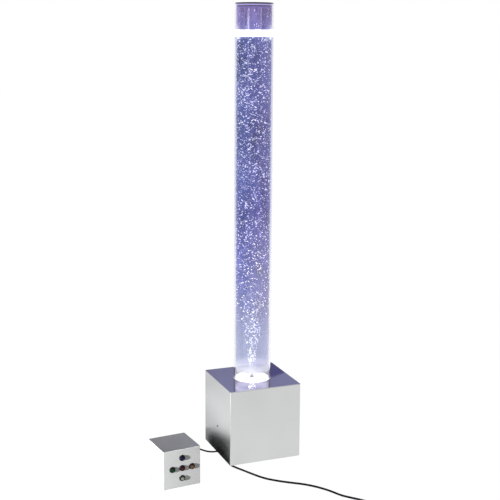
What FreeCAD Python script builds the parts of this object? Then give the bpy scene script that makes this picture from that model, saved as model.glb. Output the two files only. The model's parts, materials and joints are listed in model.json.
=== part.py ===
import FreeCAD, Part
import math
import os
import Sketcher

from FreeCAD import Placement, Rotation, Vector

# Bubble tube floor lamp: a steel base cube with a mirror top carries a water-filled acrylic
# tube, and a wired control cube with five sprung push buttons stands beside it.
# Millimetres. +Z is up, the floor is Z = 0, and the wide front of the base faces -Y.
# The origin is the centre of the whole set's footprint, cords left out.

SIZES = {
    # base cube
    "base_side": 300.0,
    "casing_height": 300.0,
    "casing_wall": 1.5,
    "casing_corner": 2.5,
    "top_flange": 14.0,
    "bottom_flange": 22.0,
    "floor_gap": 8.0,
    "mirror_thickness": 3.0,
    "mirror_clearance": 0.5,
    "vent_length": 90.0,
    "vent_width": 4.0,
    "vent_pitch": 9.0,
    "vent_height": 34.0,
    # pan that closes the base from below, with a hood over the cord exits
    "pan_thickness": 2.0,
    "pan_clearance": 0.5,
    "hood_length": 130.0,
    "hood_width": 112.0,
    "hood_depth": 36.0,
    "hood_left": 60.0,
    "hood_front": 18.0,
    "foot_radius": 11.0,
    "foot_taper": 1.5,
    "foot_inset": 38.0,
    "pan_screw_spacing": 60.0,
    # bridge that carries the tube
    "bridge_sheet": 3.0,
    "bridge_clearance": 0.5,
    "bridge_depth": 220.0,
    "bridge_bend": 4.0,
    "bridge_opening": 20.0,
    "side_screw_height": 120.0,
    # tube, its floor, collar, water and lid
    "tube_radius": 75.0,
    "tube_wall": 5.0,
    "tube_rise": 1500.0,
    "floor_disc": 10.0,
    "chamber_height": 38.0,
    "bond_gap": 0.05,
    "collar_flange": 25.0,
    "collar_hub": 8.0,
    "collar_flange_height": 5.0,
    "collar_height": 22.0,
    "collar_clearance": 0.1,
    "collar_screw_inset": 8.0,
    "air_space": 132.0,
    "water_clearance": 0.3,
    "lid_thickness": 6.0,
    "lid_chamfer": 1.0,
    "lid_spigot": 14.0,
    "lid_spigot_wall": 9.0,
    "lid_clearance": 0.5,
    "lid_vent_radius": 2.5,
    "lid_vent_circle": 40.0,
    "seal_radius": 1.6,
    "seal_clearance": 0.1,
    "seal_gap": 0.3,
    # air nozzle and its nut
    "nozzle_foot": 8.0,
    "nozzle_shoulder": 2.5,
    "nozzle_rise": 15.0,
    "nozzle_tip": 2.2,
    "nozzle_bore": 1.2,
    "nozzle_stem": 5.0,
    "nozzle_thread": 12.0,
    "barb_radius": 3.4,
    "barb_length": 14.0,
    "nozzle_nut_radius": 9.5,
    "nozzle_nut_height": 5.0,
    # light unit under the tube floor
    "sink_clearance": 6.0,
    "sink_bore": 24.0,
    "sink_plate": 4.0,
    "fin_height": 12.0,
    "fin_width": 2.4,
    "board_thickness": 1.6,
    "board_margin": 2.0,
    "emitter_radius": 3.2,
    "emitter_lens": 2.0,
    "emitter_height": 2.2,
    "emitter_inset": 12.0,
    "emitter_margin": 10.0,
    # air pump, valve and hose
    "pump_length": 95.0,
    "pump_width": 120.0,
    "pump_height": 70.0,
    "pump_corner": 10.0,
    "pump_edge": 4.0,
    "pump_right": 80.0,
    "pump_front": 62.0,
    "pump_mount_radius": 8.0,
    "pump_mount_height": 8.0,
    "pump_mount_inset": 14.0,
    "spigot_radius": 4.5,
    "spigot_height": 10.0,
    "valve_radius": 10.0,
    "valve_neck": 5.0,
    "valve_height": 36.0,
    "valve_chamfer": 4.0,
    "hose_radius": 5.0,
    "hose_bore": 3.5,
    # power supply, terminals and control board
    "supply_length": 100.0,
    "supply_width": 62.0,
    "supply_height": 34.0,
    "supply_ear": 8.0,
    "supply_edge": 80.0,
    "supply_back": 80.0,
    "terminal_length": 36.0,
    "terminal_width": 16.0,
    "terminal_height": 18.0,
    "terminal_right": 34.0,
    "terminal_back": 24.0,
    "driver_length": 100.0,
    "driver_width": 60.0,
    "driver_left": 60.0,
    "driver_back": 88.0,
    "pillar_radius": 3.0,
    "pillar_height": 8.0,
    "pillar_inset": 5.0,
    "relay_side": 18.0,
    "relay_height": 15.0,
    # screws
    "screw_radius": 2.0,
    "screw_head": 4.5,
    "screw_head_height": 2.2,
    "screw_clearance": 0.1,
    "screw_grip": 4.0,
    # cord glands
    "gland_pitch": 56.0,
    "gland_hex": 9.0,
    "gland_hex_height": 5.0,
    "gland_dome": 9.0,
    "gland_shoulder": 5.5,
    "gland_tail": 26.0,
    "gland_sleeve": 1.2,
    "gland_thread": 6.0,
    "gland_thread_length": 8.0,
    "gland_nut_height": 3.0,
    "mains_radius": 3.5,
    "lead_radius": 2.75,
    # control cube
    "control_side": 150.0,
    "control_wall": 1.5,
    "control_corner": 1.5,
    "control_gap": 3.0,
    "control_left": 391.0,
    "control_front": 182.0,
    "control_turn": 5.75,
    "control_plate": 2.0,
    "control_clearance": 0.3,
    "control_post": 10.0,
    "control_post_height": 20.0,
    "control_foot_radius": 7.0,
    "control_foot_inset": 26.0,
    "control_gland_offset": 25.0,
    "control_gland_height": 22.0,
    "circuit_length": 90.0,
    "circuit_width": 50.0,
    "circuit_back": 22.0,
    # push buttons
    "button_spacing": 40.0,
    "button_radius": 10.0,
    "button_flange": 11.5,
    "button_flange_height": 1.5,
    "button_reach": 7.0,
    "button_shank": 22.0,
    "button_web_depth": 8.0,
    "button_web": 2.0,
    "button_hole_clearance": 0.1,
    "cap_radius": 8.0,
    "cap_clearance": 0.3,
    "cap_proud": 3.2,
    "cap_dome": 1.6,
    "cap_skirt": 9.0,
    "cap_wall": 2.0,
    "cap_travel": 3.0,
    "stem_radius": 2.9,
    "stem_clearance": 0.3,
    "stem_entry": 1.0,
    "spring_radius": 5.4,
    "spring_wire": 1.0,
    "spring_clearance": 0.3,
    "nut_radius": 14.0,
    "nut_height": 4.0,
    "contact_side": 18.0,
    "contact_height": 22.0,
    "contact_bore": 7.0,
    # mains plug and the put-away coil
    "plug_radius": 18.5,
    "plug_body": 17.0,
    "plug_grip": 14.0,
    "plug_neck": 9.0,
    "plug_tail": 30.0,
    "plug_pin_radius": 2.4,
    "plug_pin_spacing": 19.0,
    "plug_pin_length": 19.0,
    "coil_radius": 52.0,
    "coil_spacing": 1.3,
}

BUTTONS = {
    "blue": (0, 1),
    "green": (-1, 0),
    "red": (0, 0),
    "amber": (1, 0),
    "white": (0, -1),
}
VENT_COUNT = 8
FIN_COUNT = 20
EMITTER_COUNT = (6, 12)
CORNERS = ((-1, -1), (1, -1), (1, 1), (-1, 1))
COIL_HALF_TURNS = 6

# Cord routes, chosen by hand, from the centre of the base on the floor.
MAINS_ROUTE = [
    (-58, -46, 26), (-82, -49, 20), (-105, -60, 8), (-126, -79, 3.5), (-140, -106, 3.5),
    (-142, -136, 3.5), (-130, -166, 3.5), (-113, -201, 3.5), (-95, -240, 3.5), (-66, -297, 3.5),
    (-28, -336.5, 3.5), (13, -370, 3.5), (56, -401, 3.5), (93, -441, 3.5), (124, -491, 3.5),
    (144, -540, 3.5), (170, -571, 3.5), (199, -604, 3.5), (224, -641, 3.5), (238.5, -675.2, 3.5),
]
LEAD_ROUTE = [
    (-58, 10, 26), (-82, 11, 19), (-105, 13, 8), (-126, 16, 2.75), (-147, 18, 2.75),
    (-167, 20, 2.75), (-187, 36, 2.75), (-201, 62, 2.75), (-218, 85, 2.75), (-246, 99, 2.75),
    (-280, 98, 2.75), (-312, 86, 2.75), (-341, 66, 2.75), (-362, 40, 2.75), (-374, 12, 6),
    (-379, -14, 16), (-380.1, -40.2, 22),
]
COIL_START = (252, -702)
COIL_HEADING = (0.45, -0.893)
COIL_TUCK = {7: 3.2, 8: 1.4}
PLUG_ROUTE = [(-48.2, 26, 11.1), (-45.5, 52, 12.5), (-35, 76, 15.5), (-15, 92, 18.5)]
PLUG_TAIL_END = (8, 94)

doc = FreeCAD.newDocument("bubble_tube_lamp")
sheet = doc.addObject("Spreadsheet::Sheet", "sizes")
for row, (alias, number) in enumerate(SIZES.items(), 1):
    sheet.set(f"A{row}", alias)
    sheet.set(f"B{row}", str(number))
    sheet.setAlias(f"B{row}", alias)
doc.recompute()


class Size:
    """A size worked out from the sheet: the expression that binds it and its present value."""

    def __init__(self, text, value):
        self.text = text
        self.value = value

    @staticmethod
    def of(other):
        return other if isinstance(other, Size) else Size(repr(float(other)), float(other))

    def join(self, sign, other, value):
        return Size(f"({self.text} {sign} {other.text})", value)

    def __add__(self, other):
        other = Size.of(other)
        return self.join("+", other, self.value + other.value)

    def __sub__(self, other):
        other = Size.of(other)
        return self.join("-", other, self.value - other.value)

    def __mul__(self, other):
        other = Size.of(other)
        return self.join("*", other, self.value * other.value)

    def __truediv__(self, other):
        other = Size.of(other)
        return self.join("/", other, self.value / other.value)

    def __neg__(self):
        return Size(f"(0 - {self.text})", -self.value)

    def __radd__(self, other):
        return Size.of(other) + self

    def __rsub__(self, other):
        return Size.of(other) - self

    def __rmul__(self, other):
        return Size.of(other) * self

    def cos(self):
        return Size(f"cos({self.text})", math.cos(math.radians(self.value)))

    def sin(self):
        return Size(f"sin({self.text})", math.sin(math.radians(self.value)))


class Sheet:
    """Reads each size of the sheet by its name."""

    def __getattr__(self, name):
        return Size(f"sizes.{name}", float(sheet.get(name)))


size = Sheet()

# ------------------------------------------------------------------ levels and places
PAN_BOTTOM = size.floor_gap + size.casing_wall
PAN_TOP = PAN_BOTTOM + size.pan_thickness
CASING_TOP = size.floor_gap + size.casing_height
BASE_TOP = CASING_TOP + size.mirror_thickness
FLOOR_DISC_BOTTOM = BASE_TOP - size.floor_disc
BRIDGE_TOP = FLOOR_DISC_BOTTOM - size.chamber_height
LID_TOP = BASE_TOP + size.tube_rise
TUBE_TOP = LID_TOP - size.lid_thickness
TUBE_BORE = size.tube_radius - size.tube_wall
SINK_RADIUS = TUBE_BORE - size.sink_clearance
BASE_HALF = size.base_side / 2
CASING_INSIDE = BASE_HALF - size.casing_wall
BRIDGE_HALF = CASING_INSIDE - size.bridge_clearance
HOOD_RIGHT = size.hood_length / 2 - size.hood_left
GLAND_LEVEL = PAN_BOTTOM + size.hood_depth / 2 - 1.5
GLAND_LENGTH = size.gland_hex_height + size.gland_dome + size.gland_tail
PUMP_BOTTOM = PAN_TOP + size.pump_mount_height
PUMP_TOP = PUMP_BOTTOM + size.pump_height
VALVE_BOTTOM = PUMP_TOP + size.spigot_height
VALVE_TOP = VALVE_BOTTOM + size.valve_height
NOZZLE_BOTTOM = FLOOR_DISC_BOTTOM - size.nozzle_thread
CONTROL_HALF = size.control_side / 2
CONTROL_INSIDE = CONTROL_HALF - size.control_wall
CONTROL_FACE_CENTRE = size.control_gap + CONTROL_HALF
CAP_TIP = size.button_reach + size.cap_proud

# The base and the control cube are set so that the origin is the middle of their footprint.
CONTROL_SPAN = CONTROL_HALF * (size.control_turn.cos() + size.control_turn.sin())
CONTROL_REACH = (CONTROL_HALF + CAP_TIP) * size.control_turn.cos() + (
    size.button_spacing + size.cap_radius
) * size.control_turn.sin()
BASE_X = (size.control_left + CONTROL_SPAN - BASE_HALF) / 2
BASE_Y = (size.control_front + CONTROL_REACH - BASE_HALF) / 2
CONTROL_X = BASE_X - size.control_left
CONTROL_Y = BASE_Y - size.control_front
TURN = Rotation(Vector(0, 0, 1), size.control_turn.value)

nodes = []


# ------------------------------------------------------------------ helpers
def bind(thing, path, wanted):
    """Tie one property of an object to the sheet."""
    thing.setExpression(path, Size.of(wanted).text)


def place(thing, x=0, y=0, z=0, turn=None):
    """Put an object at a place that follows the sheet, turned as asked."""
    spot = [Size.of(v) for v in (x, y, z)]
    thing.Placement = Placement(Vector(*[s.value for s in spot]), turn or Rotation())
    for axis, s in zip("xyz", spot):
        bind(thing, f"Placement.Base.{axis}", s)
    return thing


def box(length, width, height, x=0, y=0, z=0):
    """A block centred on x and y, standing on z."""
    thing = doc.addObject("Part::Box", "block")
    for name, wanted in (("Length", length), ("Width", width), ("Height", height)):
        bind(thing, name, wanted)
    return place(thing, x - Size.of(length) / 2, y - Size.of(width) / 2, z)


def rod(radius, height, x=0, y=0, z=0, turn=None):
    """A cylinder that starts at the given place, along Z unless turned."""
    thing = doc.addObject("Part::Cylinder", "rod")
    bind(thing, "Radius", radius)
    bind(thing, "Height", height)
    return place(thing, x, y, z, turn)


def cone(bottom, top, height, x=0, y=0, z=0):
    thing = doc.addObject("Part::Cone", "cone")
    for name, wanted in (("Radius1", bottom), ("Radius2", top), ("Height", height)):
        bind(thing, name, wanted)
    return place(thing, x, y, z)


def hexagon(radius, height, x=0, y=0, z=0, turn=None):
    thing = doc.addObject("Part::Prism", "hexagon")
    thing.Polygon = 6
    bind(thing, "Circumradius", radius)
    bind(thing, "Height", height)
    return place(thing, x, y, z, turn)


def fuse(*things):
    thing = doc.addObject("Part::MultiFuse", "join")
    thing.Shapes = list(things)
    return thing


def cut(body, *tools):
    thing = doc.addObject("Part::Cut", "cut")
    thing.Base = body
    thing.Tool = tools[0] if len(tools) == 1 else fuse(*tools)
    return thing


def group(things):
    thing = doc.addObject("Part::Compound", "set")
    thing.Links = list(things)
    return thing


def node(name, thing, x=None, y=None, z=0, turn=None):
    """Name a finished sub-part and put it in the base's frame unless told otherwise."""
    thing.Label = name
    place(thing, BASE_X if x is None else x, BASE_Y if y is None else y, z, turn)
    nodes.append(thing)
    return thing


def in_control(name, thing, x=0, y=0, z=0, turn=None):
    """Name a sub-part of the control cube and put it in the cube's own turned frame."""
    x, y = Size.of(x), Size.of(y)
    across, along = size.control_turn.cos(), size.control_turn.sin()
    spot_x = CONTROL_X + x * across - y * along
    spot_y = CONTROL_Y + x * along + y * across
    return node(name, thing, spot_x, spot_y, z, TURN * (turn or Rotation()))


def new_body():
    return doc.addObject("PartDesign::Body", "body")


def plane(body, role):
    return next(f for f in body.Origin.OriginFeatures if f.Role == role)


def new_sketch(body, role="XY_Plane", offset=0):
    """A sketch on one of the body's own planes, moved along that plane's normal."""
    sketch = body.newObject("Sketcher::SketchObject", "sketch")
    sketch.AttachmentSupport = (plane(body, role), [""])
    sketch.MapMode = "FlatFace"
    offset = Size.of(offset)
    sketch.AttachmentOffset = Placement(Vector(0, 0, offset.value), Rotation())
    bind(sketch, "AttachmentOffset.Base.z", offset)
    return sketch


def pin_point(sketch, geometry, point, x, y, tag):
    """Hold one point of a sketch at its place from the sketch's origin."""
    for kind, axis, wanted in (("DistanceX", -2, Size.of(x)), ("DistanceY", -1, Size.of(y))):
        if abs(wanted.value) < 1e-9:
            sketch.addConstraint(Sketcher.Constraint("PointOnObject", geometry, point, axis))
            continue
        index = sketch.addConstraint(
            Sketcher.Constraint(kind, -1, 1, geometry, point, wanted.value)
        )
        sketch.renameConstraint(index, f"{tag}_{kind[-1].lower()}")
        bind(sketch, f"Constraints.{tag}_{kind[-1].lower()}", wanted)


def polygon(sketch, corners):
    """A closed outline through corners that each follow the sheet."""
    spots = [(Size.of(x), Size.of(y)) for x, y in corners]
    first = sketch.GeometryCount
    for (x0, y0), (x1, y1) in zip(spots, spots[1:] + spots[:1]):
        start, end = Vector(x0.value, y0.value, 0), Vector(x1.value, y1.value, 0)
        sketch.addGeometry(Part.LineSegment(start, end), False)
    for i, (x, y) in enumerate(spots):
        line = first + i
        before = first + (i - 1) % len(spots)
        sketch.addConstraint(Sketcher.Constraint("Coincident", before, 2, line, 1))
        pin_point(sketch, line, 1, x, y, f"corner{line}")
    return sketch


def rectangle(sketch, half_x, half_y, x=0, y=0):
    return polygon(sketch, [(x + sx * half_x, y + sy * half_y) for sx, sy in CORNERS])


def circle(sketch, radius, x=0, y=0):
    radius = Size.of(radius)
    middle = Vector(Size.of(x).value, Size.of(y).value, 0)
    index = sketch.addGeometry(Part.Circle(middle, Vector(0, 0, 1), radius.value), False)
    number = sketch.addConstraint(Sketcher.Constraint("Radius", index, radius.value))
    sketch.renameConstraint(number, f"radius{index}")
    bind(sketch, f"Constraints.radius{index}", radius)
    pin_point(sketch, index, 3, x, y, f"circle{index}")
    return sketch


def pad(body, sketch, length, reverse=False):
    feature = body.newObject("PartDesign::Pad", "pad")
    feature.Profile = sketch
    feature.Reversed = reverse
    bind(feature, "Length", length)
    return feature


def pocket(body, sketch, length, reverse=False):
    """Cut against the sketch's normal, or along it when reversed, and see that it cuts."""
    doc.recompute()
    before = body.Shape.Volume
    feature = body.newObject("PartDesign::Pocket", "pocket")
    feature.Profile = sketch
    feature.Reversed = reverse
    bind(feature, "Length", length)
    doc.recompute()
    if not body.Shape.Volume < before:
        raise ValueError(f"a pocket of {body.Name} cuts nothing")
    return feature


def revolve(body, sketch):
    feature = body.newObject("PartDesign::Revolution", "revolution")
    feature.Profile = sketch
    feature.ReferenceAxis = (sketch, ["V_Axis"])
    feature.Angle = 360
    return feature


def turned(corners):
    """A body turned about Z from the outline of its section: radius, then height."""
    body = new_body()
    revolve(body, polygon(new_sketch(body, "XZ_Plane"), corners))
    return body


def round_edges(body, radius, test):
    """Round each edge of the body's last feature that passes the test."""
    doc.recompute()
    base = body.Tip
    names = [f"Edge{i}" for i, edge in enumerate(base.Shape.Edges, 1) if test(edge)]
    if not names:
        raise ValueError(f"{body.Name} has no edge to round")
    fillet = body.newObject("PartDesign::Fillet", "fillet")
    fillet.Base = (base, names)
    bind(fillet, "Radius", radius)
    return fillet


def upright(edge, half_x, half_y):
    """True for a straight vertical edge on the corners of a centred rectangle."""
    a, b = edge.Vertexes[0].Point, edge.Vertexes[-1].Point
    along = abs(a.z - b.z) > 1 and math.hypot(a.x - b.x, a.y - b.y) < 0.01
    return along and abs(abs(a.x) - half_x) < 0.01 and abs(abs(a.y) - half_y) < 0.01


def repeat_round(body, feature, count):
    """Repeat a feature round the body's Z axis."""
    pattern = body.newObject("PartDesign::PolarPattern", "pattern")
    pattern.Originals = [feature]
    pattern.Axis = (plane(body, "Z_Axis"), [""])
    pattern.Angle = 360
    pattern.Occurrences = count
    body.Tip = pattern
    return pattern


def screw(length, x, y, z, turn=None):
    """A pan-head screw whose head stands on z and whose shank runs back through it."""
    head = rod(size.screw_head, size.screw_head_height)
    shank = rod(size.screw_radius, length, z=-length)
    return place(fuse(head, shank), x, y, z, turn)


# ------------------------------------------------------------------ base cube
def base_casing():
    """Folded steel walls with returned flanges, vent slots behind and two side screw holes."""
    body = new_body()
    walls = rectangle(new_sketch(body, offset=size.floor_gap), BASE_HALF, BASE_HALF)
    pad(body, walls, size.casing_height)
    round_edges(
        body, size.casing_corner, lambda e: upright(e, BASE_HALF.value, BASE_HALF.value)
    )
    top_half = CASING_INSIDE - size.top_flange
    bottom_half = CASING_INSIDE - size.bottom_flange
    top = rectangle(new_sketch(body, offset=CASING_TOP), top_half, top_half)
    pocket(body, top, size.casing_wall)
    bottom = rectangle(new_sketch(body, offset=size.floor_gap), bottom_half, bottom_half)
    pocket(body, bottom, size.casing_wall, reverse=True)
    room = new_sketch(body, offset=PAN_BOTTOM)
    rectangle(room, CASING_INSIDE, CASING_INSIDE)
    pocket(body, room, size.casing_height - 2 * size.casing_wall, reverse=True)
    sides = new_sketch(body, "YZ_Plane", BASE_HALF)
    circle(sides, size.screw_radius + size.screw_clearance, 0, size.side_screw_height)
    pocket(body, sides, size.base_side)
    vent = new_sketch(body, "XZ_Plane", -BASE_HALF)
    middle = PAN_TOP + size.vent_height
    rectangle(vent, size.vent_length / 2, size.vent_width / 2, 0, middle)
    slot = pocket(body, vent, 2 * size.casing_wall, reverse=True)
    vents = body.newObject("PartDesign::LinearPattern", "vents")
    vents.Originals = [slot]
    vents.Direction = (vent, ["V_Axis"])
    bind(vents, "Length", size.vent_pitch * (VENT_COUNT - 1))
    vents.Occurrences = VENT_COUNT
    body.Tip = vents
    holes = [pan_screw_place(sx, sy) for sx, sy in CORNERS]
    fixings = new_sketch(body, offset=PAN_BOTTOM)
    for x, y in holes:
        circle(fixings, size.screw_radius + size.screw_clearance, x, y)
    pocket(body, fixings, 2 * size.casing_wall)
    return body


def pan_screw_place(side_x, side_y):
    """Where a pan screw passes the bottom flange."""
    across = CASING_INSIDE - size.bottom_flange / 2
    return side_x * across, side_y * size.pan_screw_spacing


def base_pan():
    """Pressed floor of the base, with a hood that the two cords leave from."""
    body = new_body()
    half = CASING_INSIDE - size.pan_clearance
    pad(body, rectangle(new_sketch(body, offset=PAN_BOTTOM), half, half), size.pan_thickness)
    hood_x, hood_y = -size.hood_left, -size.hood_front
    hood = new_sketch(body, offset=PAN_BOTTOM)
    skin = size.pan_thickness
    rectangle(hood, size.hood_length / 2 + skin, size.hood_width / 2 + skin, hood_x, hood_y)
    pad(body, hood, size.hood_depth + skin)
    hollow = new_sketch(body, offset=PAN_BOTTOM)
    rectangle(hollow, size.hood_length / 2, size.hood_width / 2, hood_x, hood_y)
    pocket(body, hollow, size.hood_depth, reverse=True)
    glands = new_sketch(body, "YZ_Plane", HOOD_RIGHT - size.pan_thickness)
    for side in (-1, 1):
        hole = size.gland_thread + size.screw_clearance
        circle(glands, hole, side * size.gland_pitch / 2 - size.hood_front, GLAND_LEVEL)
    pocket(body, glands, 3 * size.pan_thickness, reverse=True)
    fixings = new_sketch(body, offset=PAN_TOP)
    for sx, sy in CORNERS:
        x, y = pan_screw_place(sx, sy)
        circle(fixings, size.screw_radius + size.screw_clearance, x, y)
    pocket(body, fixings, 2 * size.pan_thickness)
    return body


def base_feet():
    spread = BASE_HALF - size.foot_inset
    low = size.foot_radius - size.foot_taper
    return group(
        cone(low, size.foot_radius, PAN_BOTTOM, sx * spread, sy * spread) for sx, sy in CORNERS
    )


def pan_screws():
    """Screws driven up through the bottom flange into the pan."""
    down = Rotation(Vector(1, 0, 0), 180)
    length = size.casing_wall + size.pan_thickness + size.screw_grip
    places = [pan_screw_place(sx, sy) for sx, sy in CORNERS]
    return group(screw(length, x, y, size.floor_gap, down) for x, y in places)


def mirror_top():
    """Polished plate that covers the casing, holed for the tube."""
    body = new_body()
    plate = rectangle(new_sketch(body, offset=CASING_TOP), BASE_HALF, BASE_HALF)
    circle(plate, size.tube_radius + size.mirror_clearance)
    pad(body, plate, size.mirror_thickness)
    round_edges(
        body, size.casing_corner, lambda e: upright(e, BASE_HALF.value, BASE_HALF.value)
    )
    return body


def tube_bridge():
    """Folded steel bridge on the pan that carries the tube and the light unit."""
    body = new_body()
    inner = BRIDGE_HALF - size.bridge_sheet
    under = BRIDGE_TOP - size.bridge_sheet
    section = new_sketch(body, "XZ_Plane", -size.bridge_depth / 2)
    polygon(section, [
        (-BRIDGE_HALF, PAN_TOP), (-inner, PAN_TOP), (-inner, under), (inner, under),
        (inner, PAN_TOP), (BRIDGE_HALF, PAN_TOP), (BRIDGE_HALF, BRIDGE_TOP),
        (-BRIDGE_HALF, BRIDGE_TOP),
    ])
    pad(body, section, size.bridge_depth)
    level = BRIDGE_TOP.value

    def bend(edge):
        a, b = edge.Vertexes[0].Point, edge.Vertexes[-1].Point
        return abs(a.z - level) < 0.01 and abs(b.z - level) < 0.01 and abs(a.x - b.x) < 0.01

    round_edges(body, size.bridge_bend, bend)
    openings = circle(new_sketch(body, offset=BRIDGE_TOP), size.bridge_opening)
    for x, y in collar_screw_places():
        circle(openings, size.screw_radius + size.screw_clearance, x, y)
    pocket(body, openings, 2 * size.bridge_sheet)
    sides = new_sketch(body, "YZ_Plane", BASE_HALF)
    circle(sides, size.screw_radius + size.screw_clearance, 0, size.side_screw_height)
    pocket(body, sides, size.base_side)
    return body


def side_screws():
    """The two screws that show in the middle of the base's side faces."""
    length = size.casing_wall + size.bridge_clearance + size.bridge_sheet + size.screw_grip
    quarter = Vector(0, 1, 0)
    return group(
        screw(length, side * BASE_HALF, 0, size.side_screw_height, Rotation(quarter, side * 90))
        for side in (-1, 1)
    )


# ------------------------------------------------------------------ tube, water and lid
def collar_screw_places():
    """Centres of the collar's four screws, from the tube's axis."""
    reach = (size.tube_radius + size.collar_flange - size.collar_screw_inset) * math.sqrt(0.5)
    return [(sx * reach, sy * reach) for sx, sy in CORNERS]


def tube_collar():
    """Flanged ring that holds the tube's foot upright on the bridge."""
    bore = size.tube_radius + size.collar_clearance
    hub = size.tube_radius + size.collar_hub
    rim = size.tube_radius + size.collar_flange
    step = BRIDGE_TOP + size.collar_flange_height
    top = BRIDGE_TOP + size.collar_height
    body = turned([
        (bore, BRIDGE_TOP), (rim, BRIDGE_TOP), (rim, step), (hub + 2, step), (hub, step + 2),
        (hub, top - 1), (hub - 1, top), (bore, top),
    ])
    holes = new_sketch(body, offset=step)
    for x, y in collar_screw_places():
        circle(holes, size.screw_radius + size.screw_clearance, x, y)
    pocket(body, holes, 2 * size.collar_flange_height)
    return body


def collar_screws():
    length = size.collar_flange_height + size.bridge_sheet + size.screw_grip
    head = BRIDGE_TOP + size.collar_flange_height
    return group(screw(length, x, y, head) for x, y in collar_screw_places())


def acrylic_tube():
    body = new_body()
    section = circle(new_sketch(body, offset=BRIDGE_TOP), size.tube_radius)
    circle(section, TUBE_BORE)
    pad(body, section, TUBE_TOP - BRIDGE_TOP)
    return body


def tube_floor():
    """Clear disc cemented into the tube, level with the mirror, holed for the nozzle."""
    body = new_body()
    disc = circle(new_sketch(body, offset=FLOOR_DISC_BOTTOM), TUBE_BORE - size.bond_gap)
    circle(disc, size.nozzle_stem + size.bond_gap)
    pad(body, disc, size.floor_disc)
    return body


def air_nozzle():
    """Conical nozzle above the tube floor, threaded stem through it and hose barb below."""
    shoulder = BASE_TOP + size.nozzle_shoulder
    tip = BASE_TOP + size.nozzle_rise
    barb = NOZZLE_BOTTOM - size.barb_length
    neck = size.barb_radius - 0.6
    return turned([
        (size.nozzle_bore, barb), (neck, barb), (size.barb_radius, barb + 3),
        (neck, barb + 3.5), (neck, barb + 6), (size.barb_radius, barb + 9),
        (neck, barb + 9.5), (neck, NOZZLE_BOTTOM), (size.nozzle_stem, NOZZLE_BOTTOM),
        (size.nozzle_stem, BASE_TOP), (size.nozzle_foot, BASE_TOP),
        (size.nozzle_foot, shoulder), (size.nozzle_tip, tip), (size.nozzle_bore, tip),
    ])


def nozzle_nut():
    under = FLOOR_DISC_BOTTOM - size.nozzle_nut_height
    nut = hexagon(size.nozzle_nut_radius, size.nozzle_nut_height, z=under)
    bore = size.nozzle_stem + size.bond_gap
    return cut(nut, rod(bore, 3 * size.nozzle_nut_height, z=under - size.nozzle_nut_height))


def water_column():
    """The water that fills the tube to below its lid, round the nozzle."""
    gap = size.water_clearance
    low = BASE_TOP + gap
    shoulder = BASE_TOP + size.nozzle_shoulder + 2 * gap
    tip = BASE_TOP + size.nozzle_rise + gap
    top = TUBE_TOP - size.air_space
    return turned([
        (size.nozzle_foot + gap, low), (TUBE_BORE - gap, low), (TUBE_BORE - gap, top), (0, top),
        (0, tip), (size.nozzle_tip + 2 * gap, tip), (size.nozzle_foot + gap, shoulder),
    ])


def tube_lid():
    """Turned lid with a chamfered rim, a grooved spigot and three vents for the spent air."""
    spigot = TUBE_BORE - size.lid_clearance
    inner = spigot - size.lid_spigot_wall
    foot = TUBE_TOP - size.lid_spigot
    groove_half = size.seal_radius + size.seal_clearance
    groove_middle = TUBE_TOP - size.lid_spigot / 2
    groove = TUBE_BORE - size.seal_gap - 2 * size.seal_radius - size.seal_clearance
    chamfer = size.lid_chamfer
    body = turned([
        (0, TUBE_TOP), (inner, TUBE_TOP), (inner, foot), (spigot - chamfer, foot),
        (spigot, foot + chamfer), (spigot, groove_middle - groove_half),
        (groove, groove_middle - groove_half), (groove, groove_middle + groove_half),
        (spigot, groove_middle + groove_half), (spigot, TUBE_TOP),
        (size.tube_radius, TUBE_TOP), (size.tube_radius, LID_TOP - chamfer),
        (size.tube_radius - chamfer, LID_TOP), (0, LID_TOP),
    ])
    vent = circle(new_sketch(body, offset=LID_TOP), size.lid_vent_radius, size.lid_vent_circle)
    repeat_round(body, pocket(body, vent, 2 * size.lid_thickness), 3)
    return body


def lid_seal():
    ring = doc.addObject("Part::Torus", "ring")
    bind(ring, "Radius1", TUBE_BORE - size.seal_gap - size.seal_radius)
    bind(ring, "Radius2", size.seal_radius)
    place(ring, z=TUBE_TOP - size.lid_spigot / 2)
    return group([ring])


# ------------------------------------------------------------------ light unit
def led_heat_sink():
    """Finned aluminium plate on the bridge that carries the lamp board."""
    body = new_body()
    plate = circle(new_sketch(body, offset=BRIDGE_TOP + size.fin_height), SINK_RADIUS)
    circle(plate, size.sink_bore)
    pad(body, plate, size.sink_plate)
    fin = new_sketch(body, offset=BRIDGE_TOP)
    length = SINK_RADIUS - size.sink_bore - size.board_margin
    middle = size.sink_bore + length / 2 + size.board_margin / 2
    rectangle(fin, length / 2, size.fin_width / 2, middle, 0)
    repeat_round(body, pad(body, fin, size.fin_height), FIN_COUNT)
    return body


def led_board():
    body = new_body()
    face = new_sketch(body, offset=BRIDGE_TOP + size.fin_height + size.sink_plate)
    circle(face, SINK_RADIUS - size.board_margin)
    circle(face, size.sink_bore + size.board_margin)
    pad(body, face, size.board_thickness)
    return body


def led_emitters():
    """Two rings of lamps that shine up through the tube floor."""
    level = BRIDGE_TOP + size.fin_height + size.sink_plate + size.board_thickness
    lamps = []
    rings = size.sink_bore + size.emitter_inset, SINK_RADIUS - size.emitter_margin
    for reach, count in zip(rings, EMITTER_COUNT):
        for i in range(count):
            angle = 2 * math.pi * i / count
            x, y = reach * math.cos(angle), reach * math.sin(angle)
            lamps.append(
                cone(size.emitter_radius, size.emitter_lens, size.emitter_height, x, y, level)
            )
    return group(lamps)


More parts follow.
